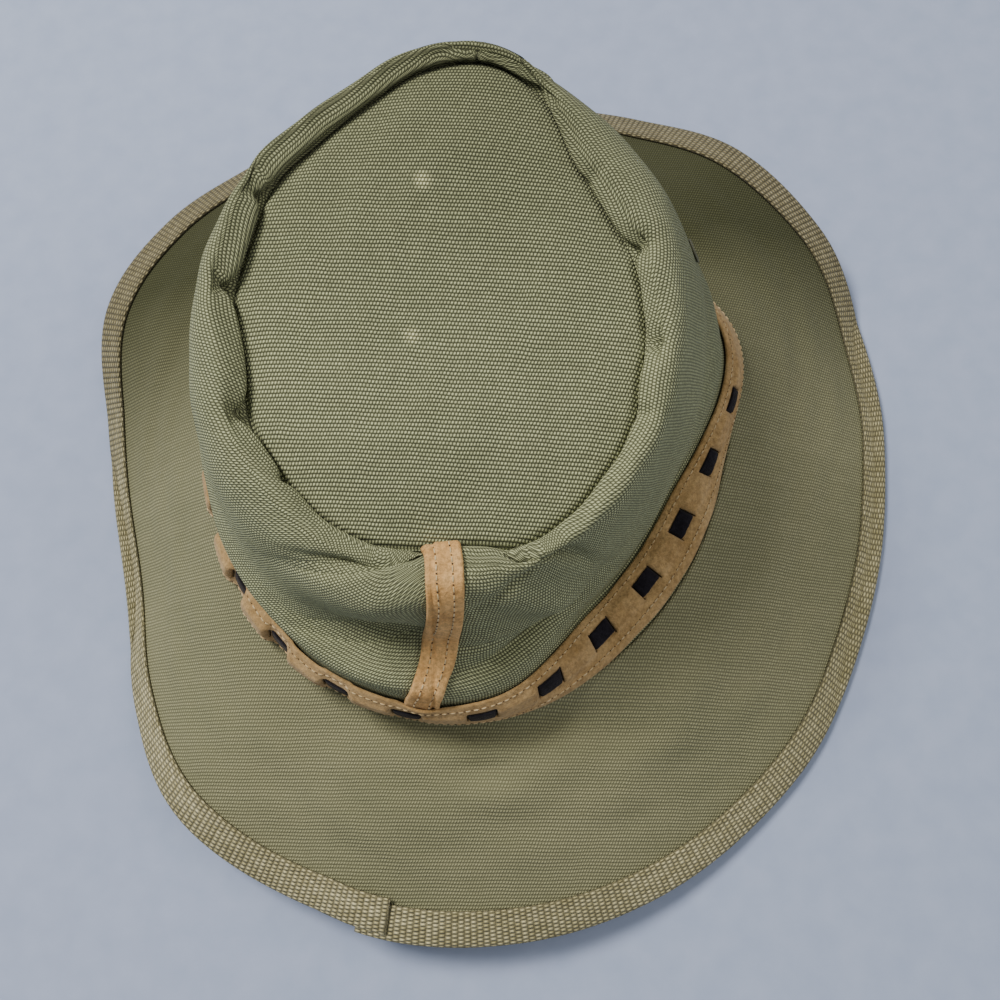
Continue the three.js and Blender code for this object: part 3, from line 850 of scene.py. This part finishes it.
# Faces of the band: inner and outer lattice without the slits, and the walls between
# them along the band's edges and round each slit
def band_faces(slit):
    n, m = len(slit), len(BAND_ROWS)
    face = n * m
    cut = (BAND_ROWS[:-1] >= CUT_LOW - 0.01) & (BAND_ROWS[:-1] < SLIT_HIGH - 0.01)
    is_slit = slit[:, None] & cut[None, :]
    keep = lattice_faces(n, m, True, False).reshape(n, m - 1, 4)[~is_slit]
    low = int(np.argmax(cut))
    high = low + int(cut.sum())
    walls = []

    def wall_between(a, b, lower):
        quad = [a, b, face + b, face + a]
        walls.append(quad if lower else quad[::-1])

    for i in range(n):
        here = i * m
        following = (i + 1) % n * m
        if slit[i]:
            for j in range(low, high):
                wall_between(here + j, here + j + 1, True)
                wall_between(following + j, following + j + 1, False)
        wall_between(here, following, True)
        wall_between(here + m - 1, following + m - 1, False)
        if slit[i]:
            wall_between(here + low, following + low, False)
            wall_between(here + high, following + high, True)
    return np.concatenate([keep[:, ::-1], keep + face, walls])


def hat_band(material):
    length, slit = band_columns()
    lengths, across = np.broadcast_arrays(length[:, None], BAND_ROWS[None, :])
    turn = turn_at(lengths)
    edge_wave = unevenness(turn, 0, 0.5, EDGE_WAVES)
    from_edge = np.minimum(across, BAND_WIDTH - across)
    rounding = EDGE_ROUND * (1 - np.clip(from_edge / EDGE_ROUND_WIDTH, 0, 1)) ** 2
    stands = band_relief(lengths, across)
    across_now = drawn_up(turn, across) + edge_wave * (across / BAND_WIDTH - 0.5)
    outer = band_place(turn, across_now, BAND_LIFT + BAND_THICK + stands - rounding)
    inner = band_place(turn, across_now, BAND_LIFT + 0.2 + stands + rounding * 0.5)
    points = np.concatenate([inner.reshape(-1, 3), outer.reshape(-1, 3)])
    make_piece("suede_band", points, band_faces(slit), material, "tan_suede",
               replaces=("hat_band",))


# The lace's section round it, as shares of its width and thickness
LACE_SECTION = np.array([
    (0.0, 0.15), (0.25, 0), (0.75, 0), (1.0, 0.15), (1.0, 0.75),
    (0.92, 1), (0.5, 1.08), (0.08, 1), (0.0, 0.75),
])
LACE_STEP = 0.6
LACE_PROUD = 0.1
LACE_BULGE = 0.25
LACE_LOWEST = 0.05


# Dark strip: behind the band between windows and in front of it at them
def lacing(material):
    low = SLIT_HIGH - LACE_GAP - LACE_WIDTH
    behind = (BAND_LIFT - LACE_THICK) / 2
    before = BAND_LIFT + BAND_THICK - PRESS + LACE_PROUD
    length = np.arange(0, BAND_ROUND, LACE_STEP)
    away = window_distance(length)
    shown = 1 - smoothstep(away, WINDOW_WIDTH / 2 - 0.9, WINDOW_WIDTH / 2 + 0.9)
    bulge = LACE_BULGE * np.cos(np.clip(away / WINDOW_WIDTH, 0, 0.5) * math.pi) * shown
    pressed = LEFT_PRESS * band_left(length) * shown
    lift = np.maximum(behind + (before - behind) * shown + bulge - pressed, LACE_LOWEST)
    across = (low + LACE_WIDTH * LACE_SECTION[:, 0])[None, :]
    rise = (LACE_THICK * LACE_SECTION[:, 1])[None, :]
    turn = turn_at(length)[:, None]
    wavy = unevenness(turn * 7, 0, 0.12, EDGE_WAVES)
    turn, across, rise = np.broadcast_arrays(turn, drawn_up(turn, across + wavy), rise)
    loops = band_place(turn, across, rise + lift[:, None])
    faces = lattice_faces(*loops.shape[:2], True, True)
    make_piece("suede_lace", loops, faces, material, "dark_suede", replaces=("band_lacing",))


# Back tab down the crown wall, its foot behind the band. It follows a share of the
# wall's creases.
TAB_CREASED = 0.2
TAB_TUCKED = (BAND_RISE + BAND_WIDTH - TAB_TUCK) / (BAND_WIDTH + BAND_MARGIN)
TAB_ROWS = 90
TAB_ROUND = 0.5
TAB_ROUND_START = 0.88


def tab_turn(level):
    return along([np.array([t]) for t in TAB_TURNS], level)[..., 0]


def tab_point(level, side, lift):
    way = tab_turn(level)
    arc = np.linalg.norm(wall(way + 1, level) - wall(way - 1, level), axis=-1) / 2
    turn = way + side * TAB_WIDTH / 2 / arc
    out = wall_facing(turn, level) * np.asarray(lift)[..., None]
    return wall_outer(turn, level, TAB_CREASED) + out


def back_tab(material):
    level = np.linspace(TAB_TUCKED, TAB_TOP + 0.08, TAB_ROWS)[:, None]
    side = np.linspace(-1, 1, 17)
    past = (np.abs(side) - TAB_ROUND_START) / (1 - TAB_ROUND_START)
    rounding = TAB_ROUND * np.clip(past, 0, 1) ** 2
    row = np.concatenate([side, side[::-1]])[None, :]
    low = TAB_GAP - 0.25
    lift = np.concatenate([TAB_GAP + TAB_THICK - rounding, low + rounding[::-1] * 0.4])[None, :]
    level, row, lift = np.broadcast_arrays(level, row, lift)
    loops = tab_point(level, row, lift)
    faces = tube_faces(*loops.shape[:2])
    make_piece("suede_tab", loops, faces, material, "tan_suede", replaces=("back_tab",))


# One stitch, ring by ring: place along it, radius and depth as shares of its radius
STITCH_RINGS = np.array([0.0, 0.12, 0.35, 0.65, 0.88, 1.0])
STITCH_PLUMP = np.array([0.25, 0.75, 1.0, 1.0, 0.75, 0.25])
STITCH_SINK = np.array([0.5, 0.12, 0, 0, 0.12, 0.5]) * 1.6
STITCH_ANGLES = np.arange(8) / 8 * 2 * math.pi


# Short rounded threads, each along a way and lying on a face
def thread_bodies(starts, ends, ups, radius):
    across = unit(np.cross(ups, unit(ends - starts)))
    along_it = (ends - starts)[:, None] * STITCH_RINGS[None, :, None]
    centres = starts[:, None] + along_it - ups[:, None] * STITCH_SINK[None, :, None] * radius
    cos, sin = (f(STITCH_ANGLES)[None, None, :, None] for f in (np.cos, np.sin))
    circle = across[:, None, None] * cos + ups[:, None, None] * sin
    points = centres[:, :, None] + circle * STITCH_PLUMP[None, :, None, None] * radius
    count, n, m = points.shape[:3]
    faces = tube_faces(n, m)[None] + np.arange(count)[:, None, None] * n * m
    return points.reshape(-1, 3), faces.reshape(-1, 4)


# Stitches: pitch, the share of it that a thread covers, its radius and the share by
# which it strays. The rows lie at these lengths across the band, and on the tab at
# these shares of half its width.
STITCH_PITCH = 2.55
STITCH_SHARE = 0.68
STITCH_RADIUS = 0.27
STITCH_JITTER = 0.09
STITCH_RISE = 0.35
BAND_STITCH_ROWS = [3.3, BAND_WIDTH - 2.0]
TAB_STITCH_ROWS = [-0.42, 0.42]
TAB_STITCH_PITCH = STITCH_PITCH * 1.1
BAND_PIT = 0.24
TAB_PIT = 0.3


# Threads along a line, the places between them and the directions up from the face
def stitch_row(line, ups, pitch, seed):
    jitter = STITCH_JITTER
    steps = lengths_along(line)
    random = np.random.default_rng(seed)
    count = int(steps[-1] / pitch)
    even = (np.arange(count) + 0.5) * steps[-1] / count
    at = even + random.uniform(-jitter, jitter, count) * pitch
    half = pitch * STITCH_SHARE / 2 * random.uniform(0.85, 1.1, count)

    def pick(values, s):
        return np.stack([np.interp(s, steps, values[:, k]) for k in range(3)], -1)

    up = unit(pick(ups, at))
    start = pick(line, at - half)
    end = pick(line, at + half)
    lean = unit(np.cross(up, end - start)) * random.uniform(-jitter, jitter, count)[:, None]
    rise = up * STITCH_RADIUS * STITCH_RISE
    gaps = pick(line, at + half + pitch * (1 - STITCH_SHARE) / 2)
    return thread_bodies(start + lean + rise, end - lean + rise, up, STITCH_RADIUS), gaps, up


def join_bodies(bodies):
    points = []
    faces = []
    start = 0
    for p, f in bodies:
        points.append(p)
        faces.append(f + start)
        start += len(p)
    return np.concatenate(points), np.concatenate(faces)


# Painted shade of the stitch holes: small dark pits between the stitches, as flat drops set in
# the suede. They lie across a direction that no part of the suede faces.
PIT_ACROSS = np.array([0.31, 0.52, 0.79])
PIT_RISE = 0.02


def pit_bodies(places, ups, radius):
    way = unit(np.cross(ups, PIT_ACROSS)) * radius
    places = places + ups * PIT_RISE
    return thread_bodies(places - way, places + way, ups, radius * 0.8)


def band_stitches(material, dark):
    bodies = []
    pits = []
    length = np.linspace(0, BAND_ROUND, 2400)
    turn = turn_at(length)
    for k, across in enumerate(BAND_STITCH_ROWS):
        lift = BAND_LIFT + BAND_THICK + band_relief(length, across)
        line = band_place(turn, drawn_up(turn, across), lift)
        body, gaps, up = stitch_row(line, band_axes(turn)[2], STITCH_PITCH, 11 + k)
        bodies.append(body)
        pits.append(pit_bodies(gaps, up, BAND_PIT))
    level = np.linspace(TAB_TUCKED + 0.02, TAB_TOP, 300)
    for k, side in enumerate(TAB_STITCH_ROWS):
        line = tab_point(level, side, TAB_GAP + TAB_THICK)
        out = wall_facing(tab_turn(level), level)
        body, gaps, up = stitch_row(line, out, TAB_STITCH_PITCH, 21 + k)
        bodies.append(body)
        pits.append(pit_bodies(gaps, up, TAB_PIT))
    make_piece("suede_stitches", *join_bodies(bodies), material, "tan_suede")
    # The dark drops between the stitches are painted shade of the holes
    make_piece("stitch_hole_shade", *join_bodies(pits), dark, "tan_suede")


# Vent eyelet: a worked ring of thread round a small hole, and a dark disc in the hole as painted
# shade
EYELET_RIDGES = 24
EYELET_RELIEF = 0.08
EYELET_RISE = 0.35
EYELET_TALL = 0.45
DISC_RISE = 0.12
DISC_THICK = 0.1


def eyelet(material, dark):
    at = np.array([float(EYELET_TURN)])
    level = np.array([float(EYELET_LEVEL)])
    middle = wall_outer(at, level)[0]
    out = wall_facing(at, level)[0]
    side = unit(wall(at + 0.5, level) - wall(at - 0.5, level))[0]
    up = np.cross(out, side)
    ring = (EYELET_OUTER + EYELET_HOLE) / 4
    thick = (EYELET_OUTER - EYELET_HOLE) / 4
    n, m = 96, 14
    angle = np.arange(n)[:, None] / n * 2 * math.pi
    spoke = np.cos(angle)[..., None] * side + np.sin(angle)[..., None] * up
    tube = np.arange(m)[None, :] / m * 2 * math.pi
    ridged = 1 + EYELET_RELIEF * np.cos(angle * EYELET_RIDGES)
    radius = ring + thick * np.cos(tube) * ridged
    height = EYELET_RISE + EYELET_TALL * np.sin(tube) * ridged
    points = middle + radius[..., None] * spoke + height[..., None] * out
    faces = lattice_faces(n, m, True, True)
    make_piece("eyelet_ring", points, faces, material, "eyelet", replaces=("vent_eyelet",))
    # A dark disc fills the hole: painted shade of the crown's inside
    rim = np.linspace(0.05, 1, 4)[None, :] * EYELET_HOLE / 2 * 1.1
    disc = middle + rim[..., None] * spoke + DISC_RISE * out
    loops = np.concatenate([disc, disc[:, ::-1] - DISC_THICK * out], 1)
    faces = lattice_faces(*loops.shape[:2], True, True)
    make_piece("eyelet_hole_shade", loops, faces, dark, "eyelet")


# Materials: each is a small set of nodes on the piece's own coordinates. Colours are
# red, green and blue up to 255.
def linear(level):
    share = level / 255
    return share / 12.92 if share <= 0.04045 else ((share + 0.055) / 1.055) ** 2.4


def srgb(colour):
    return (*(linear(level) for level in colour), 1)


WHITE = (1, 1, 1, 1)


class Nodes:
    def __init__(self, name):
        self.material = bpy.data.materials.new(name)
        self.material.use_nodes = True
        self.tree = self.material.node_tree
        self.shader = self.tree.nodes["Principled BSDF"]

    def link(self, value, socket):
        if isinstance(value, bpy.types.NodeSocket):
            self.tree.links.new(value, socket)
        else:
            socket.default_value = value

    # A new node with its first inputs and its settings
    def add(self, kind, *values, **settings):
        node = self.tree.nodes.new("ShaderNode" + kind)
        for name, setting in settings.items():
            setattr(node, name, setting)
        for value, socket in zip(values, node.inputs):
            self.link(value, socket)
        return node

    def math(self, operation, a, b=0.0):
        return self.add("Math", a, b, operation=operation).outputs[0]

    def plus(self, a, b):
        return self.math("ADD", a, b)

    def minus(self, a, b):
        return self.math("SUBTRACT", a, b)

    def times(self, a, b):
        return self.math("MULTIPLY", a, b)

    def split(self, vector):
        return list(self.add("SeparateXYZ", vector).outputs)

    def combine(self, x, y, z=0.0):
        return self.add("CombineXYZ", x, y, z).outputs[0]

    def place(self):
        return self.add("TexCoord").outputs["Object"]

    # The two cloth coordinates that make_piece kept
    def thread(self):
        return self.split(self.add("Attribute", attribute_name="thread").outputs["Vector"])[:2]

    # How far to the front in metres, unevenly, to mask painted shade towards the front
    def front(self, patches):
        return self.plus(self.split(self.place())[1], self.times(patches, 0.03))

    def noise(self, vector, scale, detail=2.0, roughness=0.5):
        node = self.add("TexNoise", vector)
        for name, value in (("Scale", scale), ("Detail", detail), ("Roughness", roughness)):
            node.inputs[name].default_value = value
        return node.outputs["Fac"]

    def random(self, vector):
        return self.add("TexWhiteNoise", vector).outputs["Value"]

    def ramp(self, value, low, high, least=0.0, most=1.0):
        return self.add("MapRange", value, low, high, least, most, clamp=True).outputs[0]

    def mix(self, factor, a, b, blend="MIX"):
        node = self.add("Mix", factor, data_type="RGBA", blend_type=blend)
        self.link(a, node.inputs[6])
        self.link(b, node.inputs[7])
        return node.outputs[2]

    # A tone that turns to a colour as the value goes from low to high
    def tint(self, tone, colour, value, low, high, least=0.0, most=1.0):
        return self.mix(self.ramp(value, low, high, least, most), tone, srgb(colour))

    def shaded(self, tone, shade):
        return self.mix(1.0, tone, self.combine(shade, shade, shade), "MULTIPLY")

    def bump(self, height, distance):
        node = self.add("Bump")
        node.inputs["Distance"].default_value = distance
        self.link(height, node.inputs["Height"])
        return node.outputs[0]

    def finish(self, colour, roughness, normal, sheen=0.0, sheen_tint=WHITE, specular=0.3):
        values = {
            "Base Color": colour,
            "Roughness": roughness,
            "Normal": normal,
            "Sheen Weight": sheen,
            "Sheen Roughness": 0.5,
            "Sheen Tint": sheen_tint,
            "Specular IOR Level": specular,
        }
        for name, value in values.items():
            self.link(value, self.shader.inputs[name])
        return self.material


# Height of a plain weave: a bump wherever a thread passes over, rows staggered. Bumps
# nearly join along their row where long is small, and lean with slant. Gives too a
# random number for each bump and one for each row.
def weave(nodes, u, v, pitch_u, pitch_v, wander, long, slant):
    slow = nodes.minus(nodes.noise(nodes.combine(u, v), 0.06, 2.0), 0.5)
    sway = nodes.times(slow, wander)
    row_place = nodes.math("DIVIDE", nodes.plus(v, sway), pitch_v)
    row = nodes.math("FLOOR", row_place)
    fv = nodes.minus(nodes.math("FRACT", row_place), 0.5)
    odd = nodes.math("FLOORED_MODULO", row, 2.0)
    shift = nodes.plus(nodes.times(odd, 0.5), nodes.times(fv, slant))
    column_place = nodes.plus(nodes.math("DIVIDE", nodes.minus(u, sway), pitch_u), shift)
    column = nodes.math("FLOOR", column_place)
    fu = nodes.minus(nodes.math("FRACT", column_place), 0.5)
    over_u = nodes.math("POWER", nodes.math("COSINE", nodes.times(fu, math.pi)), long)
    over_v = nodes.math("COSINE", nodes.times(fv, math.pi))
    own = nodes.random(nodes.combine(column, row))
    return nodes.times(over_u, over_v), own, nodes.random(nodes.combine(row, 3.7))


# Pitches of the canvas in mm, and its colours: paler slubs, deeper rows, the darker
# tone towards the front, which is painted shade, and the worn spots
CANVAS_WARP = 0.98
CANVAS_WEFT = 1.165
SLUB = (168, 160, 126)
DEEP_ROW = (118, 120, 86)
FRONT_SHADE_TONE = (60, 62, 37)
WORN_SPOT = (222, 220, 168)

# Where soft noise starts and ends to turn one tone into the other
PATCHY = (0.3, 0.7)


def canvas_material(name, long, slant, light, dark, front_shade_share, contrast, spots=()):
    nodes = Nodes(name)
    u, v = nodes.thread()
    knot, own, row_own = weave(nodes, u, v, CANVAS_WARP, CANVAS_WEFT, 1.2, long, slant)
    knot = nodes.times(knot, nodes.ramp(own, 0, 1, 0.72, 1.1))
    place = nodes.place()
    patches = nodes.noise(place, 14.0, 3.0, 0.6)
    slubs = nodes.noise(nodes.combine(nodes.times(u, 0.05), v), 0.7, 2.0)
    tone = nodes.tint(srgb(dark), light, patches, *PATCHY)
    tone = nodes.tint(tone, SLUB, slubs, 0.35, 0.7, 0.0, 0.12)
    tone = nodes.tint(tone, DEEP_ROW, row_own, 0, 1, 0.0, 0.14)
    # Painted shade: the canvas turns darker towards the front, most on the brim
    tone = nodes.tint(tone, FRONT_SHADE_TONE, nodes.front(patches), 0.015, 0.1, 0.0, front_shade_share)
    for spot_u, spot_v, size, share in spots:
        away_u = nodes.minus(u, spot_u)
        away_v = nodes.minus(v, spot_v)
        away = nodes.plus(nodes.times(away_u, away_u), nodes.times(away_v, away_v))
        tone = nodes.tint(tone, WORN_SPOT, nodes.math("SQRT", away), 0, size, share, 0.0)
    # Painted shade in the gaps between the threads and painted highlight on their bumps
    colour = nodes.shaded(tone, nodes.ramp(knot, 0.0, 0.95, 1.0 - contrast, 1.0 + contrast))
    fine = nodes.noise(place, 2600.0, 2.0)
    bump = nodes.bump(nodes.plus(knot, nodes.times(fine, 0.2)), 0.0004)
    return nodes.finish(colour, 0.88, bump, 0.08, (0.9, 0.92, 0.75, 1), 0.15)


# Ribs across the tape, each a chain of dots, a paler worn line along its middle, and painted
# shade towards the front
def tape_material():
    nodes = Nodes("coarse_tape")
    u, v = nodes.thread()
    knot, own, _ = weave(nodes, v, u, TAPE_DOT, TAPE_RIB, 0.5, 1.0, 0.0)
    patches = nodes.noise(nodes.place(), 22.0, 3.0)
    strand = nodes.noise(nodes.combine(nodes.times(u, 1.5), nodes.times(v, 1.5)), 1.6, 3.0)
    tone = nodes.tint(srgb((168, 158, 112)), (206, 196, 150), own, 0, 1)
    tone = nodes.tint(tone, (146, 138, 96), patches, *PATCHY, 0.0, 0.4)
    # Painted shade: the tape turns darker towards the front
    tone = nodes.tint(tone, (92, 80, 54), nodes.front(patches), 0.0, 0.1, 0.0, 0.6)
    middle = nodes.math("ABSOLUTE", nodes.minus(v, TAPE_WIDTH * 0.42))
    worn = nodes.times(nodes.ramp(middle, 0.3, 2.2, 0.55, 0.0), nodes.ramp(strand, 0.4, 0.65))
    shade = nodes.ramp(nodes.plus(knot, nodes.times(strand, 0.2)), 0.12, 0.95, 0.36, 1.4)
    colour = nodes.shaded(tone, nodes.plus(shade, nodes.times(worn, 0.6)))
    bump = nodes.bump(nodes.plus(knot, nodes.times(strand, 0.3)), 0.0009)
    return nodes.finish(colour, 0.8, bump, 0.1)


def suede_material(name, low, high, nap, sheen):
    nodes = Nodes(name)
    place = nodes.place()
    clouds = nodes.noise(place, 90.0, 5.0, 0.7)
    hairs = nodes.noise(place, 700.0, 4.0, 0.75)
    grains = nodes.noise(place, 2600.0, 2.0, 0.6)
    tone = nodes.tint(srgb(low), high, clouds, 0.35, 0.65)
    colour = nodes.shaded(tone, nodes.ramp(hairs, 0.35, 0.65, 1.0 - nap, 1.0 + nap))
    bump = nodes.bump(nodes.plus(hairs, nodes.times(grains, 0.5)), 0.0004)
    return nodes.finish(colour, 0.92, bump, sheen, (1.0, 0.88, 0.68, 1), 0.12)


def cotton_material(name, low, high):
    nodes = Nodes(name)
    place = nodes.place()
    twist = nodes.noise(place, 1500.0, 2.0)
    tone = nodes.tint(srgb(low), high, nodes.noise(place, 120.0), *PATCHY)
    colour = nodes.shaded(tone, nodes.ramp(twist, *PATCHY, 0.8, 1.1))
    return nodes.finish(colour, 0.7, nodes.bump(twist, 0.0002))


def floor_material():
    nodes = Nodes("plain_floor")
    soft = nodes.noise(nodes.place(), 90.0, 3.0)
    tone = nodes.tint(srgb((164, 176, 202)), (172, 183, 208), soft, *PATCHY)
    return nodes.finish(tone, 0.95, nodes.bump(soft, 0.0002), specular=0.1)


CROWN_TONES = ((166, 169, 129), (149, 153, 116))
BRIM_TONES = ((150, 147, 112), (136, 135, 102))
# The sixth number is the share of painted shade towards the front
canvas_crown = canvas_material("crown_canvas", 1.0, -0.15, *CROWN_TONES, 0.45, 0.85)
canvas_top = canvas_material("top_canvas", 1.0, -0.15, *CROWN_TONES, 0.55, 0.9, TIP_SPOTS)
canvas_brim = canvas_material("brim_canvas", 0.8, -0.4, *BRIM_TONES, 0.92, 0.46)
tan_suede = suede_material("tan_suede", (162, 129, 82), (194, 161, 112), 0.26, 0.25)
tab_suede = suede_material("tab_suede", (190, 143, 85), (224, 179, 118), 0.3, 0.15)
dark_suede = suede_material("dark_suede", (22, 20, 26), (36, 33, 40), 0.35, 0.1)
sewing_thread = cotton_material("sewing_thread", (188, 160, 112), (222, 198, 154))
# Dark brown for the painted shade in the stitch holes and in the eyelet's hole
painted_hole_shade = cotton_material("painted_hole_shade", (66, 46, 28), (84, 60, 38))
eyelet_thread = cotton_material("eyelet_thread", (96, 96, 76), (116, 114, 92))

crown_sides(canvas_crown)
crown_tip(canvas_top)
brim_sheet(canvas_brim)
binding(tape_material())
hat_band(tan_suede)
lacing(dark_suede)
back_tab(tab_suede)
band_stitches(sewing_thread, painted_hole_shade)
eyelet(eyelet_thread, painted_hole_shade)


# Floor, soft light and the camera, in metres
FLOOR_SIZE = 6
LIGHT_TINT = (1.0, 0.98, 0.95)
SKY_TINT = (0.94, 0.97, 1.0)


def plain_floor():
    bpy.ops.mesh.primitive_plane_add(size=FLOOR_SIZE, location=(0, 0, 0))
    floor = bpy.context.object
    floor.name = "plain_floor"
    floor.data.materials.append(floor_material())


def area_light(name, size, power, place):
    data = bpy.data.lights.new(name, "AREA")
    data.size = size
    data.energy = power
    data.color = LIGHT_TINT
    light = bpy.data.objects.new(name, data)
    light.location = place
    light.rotation_euler = (-Vector(place)).to_track_quat("-Z", "Y").to_euler()
    bpy.context.scene.collection.objects.link(light)


def sky(strength):
    world = bpy.data.worlds.new("soft_sky")
    world.use_nodes = True
    background = world.node_tree.nodes["Background"]
    background.inputs["Color"].default_value = (*SKY_TINT, 1)
    background.inputs["Strength"].default_value = strength
    bpy.context.scene.world = world


# The camera looks at VIEW_AIM, in mm, from behind the hat's own upright by VIEW_TILT
VIEW_TILT = 17.394
VIEW_ROLL = -5.8
VIEW_DISTANCE = 409.8
VIEW_AIM = Vector((-0.36, -6.64, -3.2))
VIEW_LENS = 36
VIEW_SENSOR = 36


def camera():
    tilt = math.radians(VIEW_TILT)
    roll = math.radians(VIEW_ROLL)
    back = Vector((0, -math.sin(tilt), math.cos(tilt)))
    right = Vector((1, 0, 0))
    up = back.cross(right)
    rolled = right * math.cos(roll) + up * math.sin(roll)
    up = up * math.cos(roll) - right * math.sin(roll)
    data = bpy.data.cameras.new("view")
    data.lens = VIEW_LENS
    data.sensor_width = VIEW_SENSOR
    data.clip_start = 0.01
    view = bpy.data.objects.new("view", data)
    place = (VIEW_AIM + back * VIEW_DISTANCE) * MM
    turned = Matrix((rolled, up, back)).transposed().to_4x4()
    view.matrix_world = Matrix.Translation(place) @ turned
    bpy.context.scene.collection.objects.link(view)
    bpy.context.scene.camera = view


plain_floor()
area_light("key_light", 0.5, 27, (-0.7, 0.5, 1.35))
area_light("fill_light", 1.1, 7, (1.1, -0.15, 1.2))
sky(0.28)
camera()
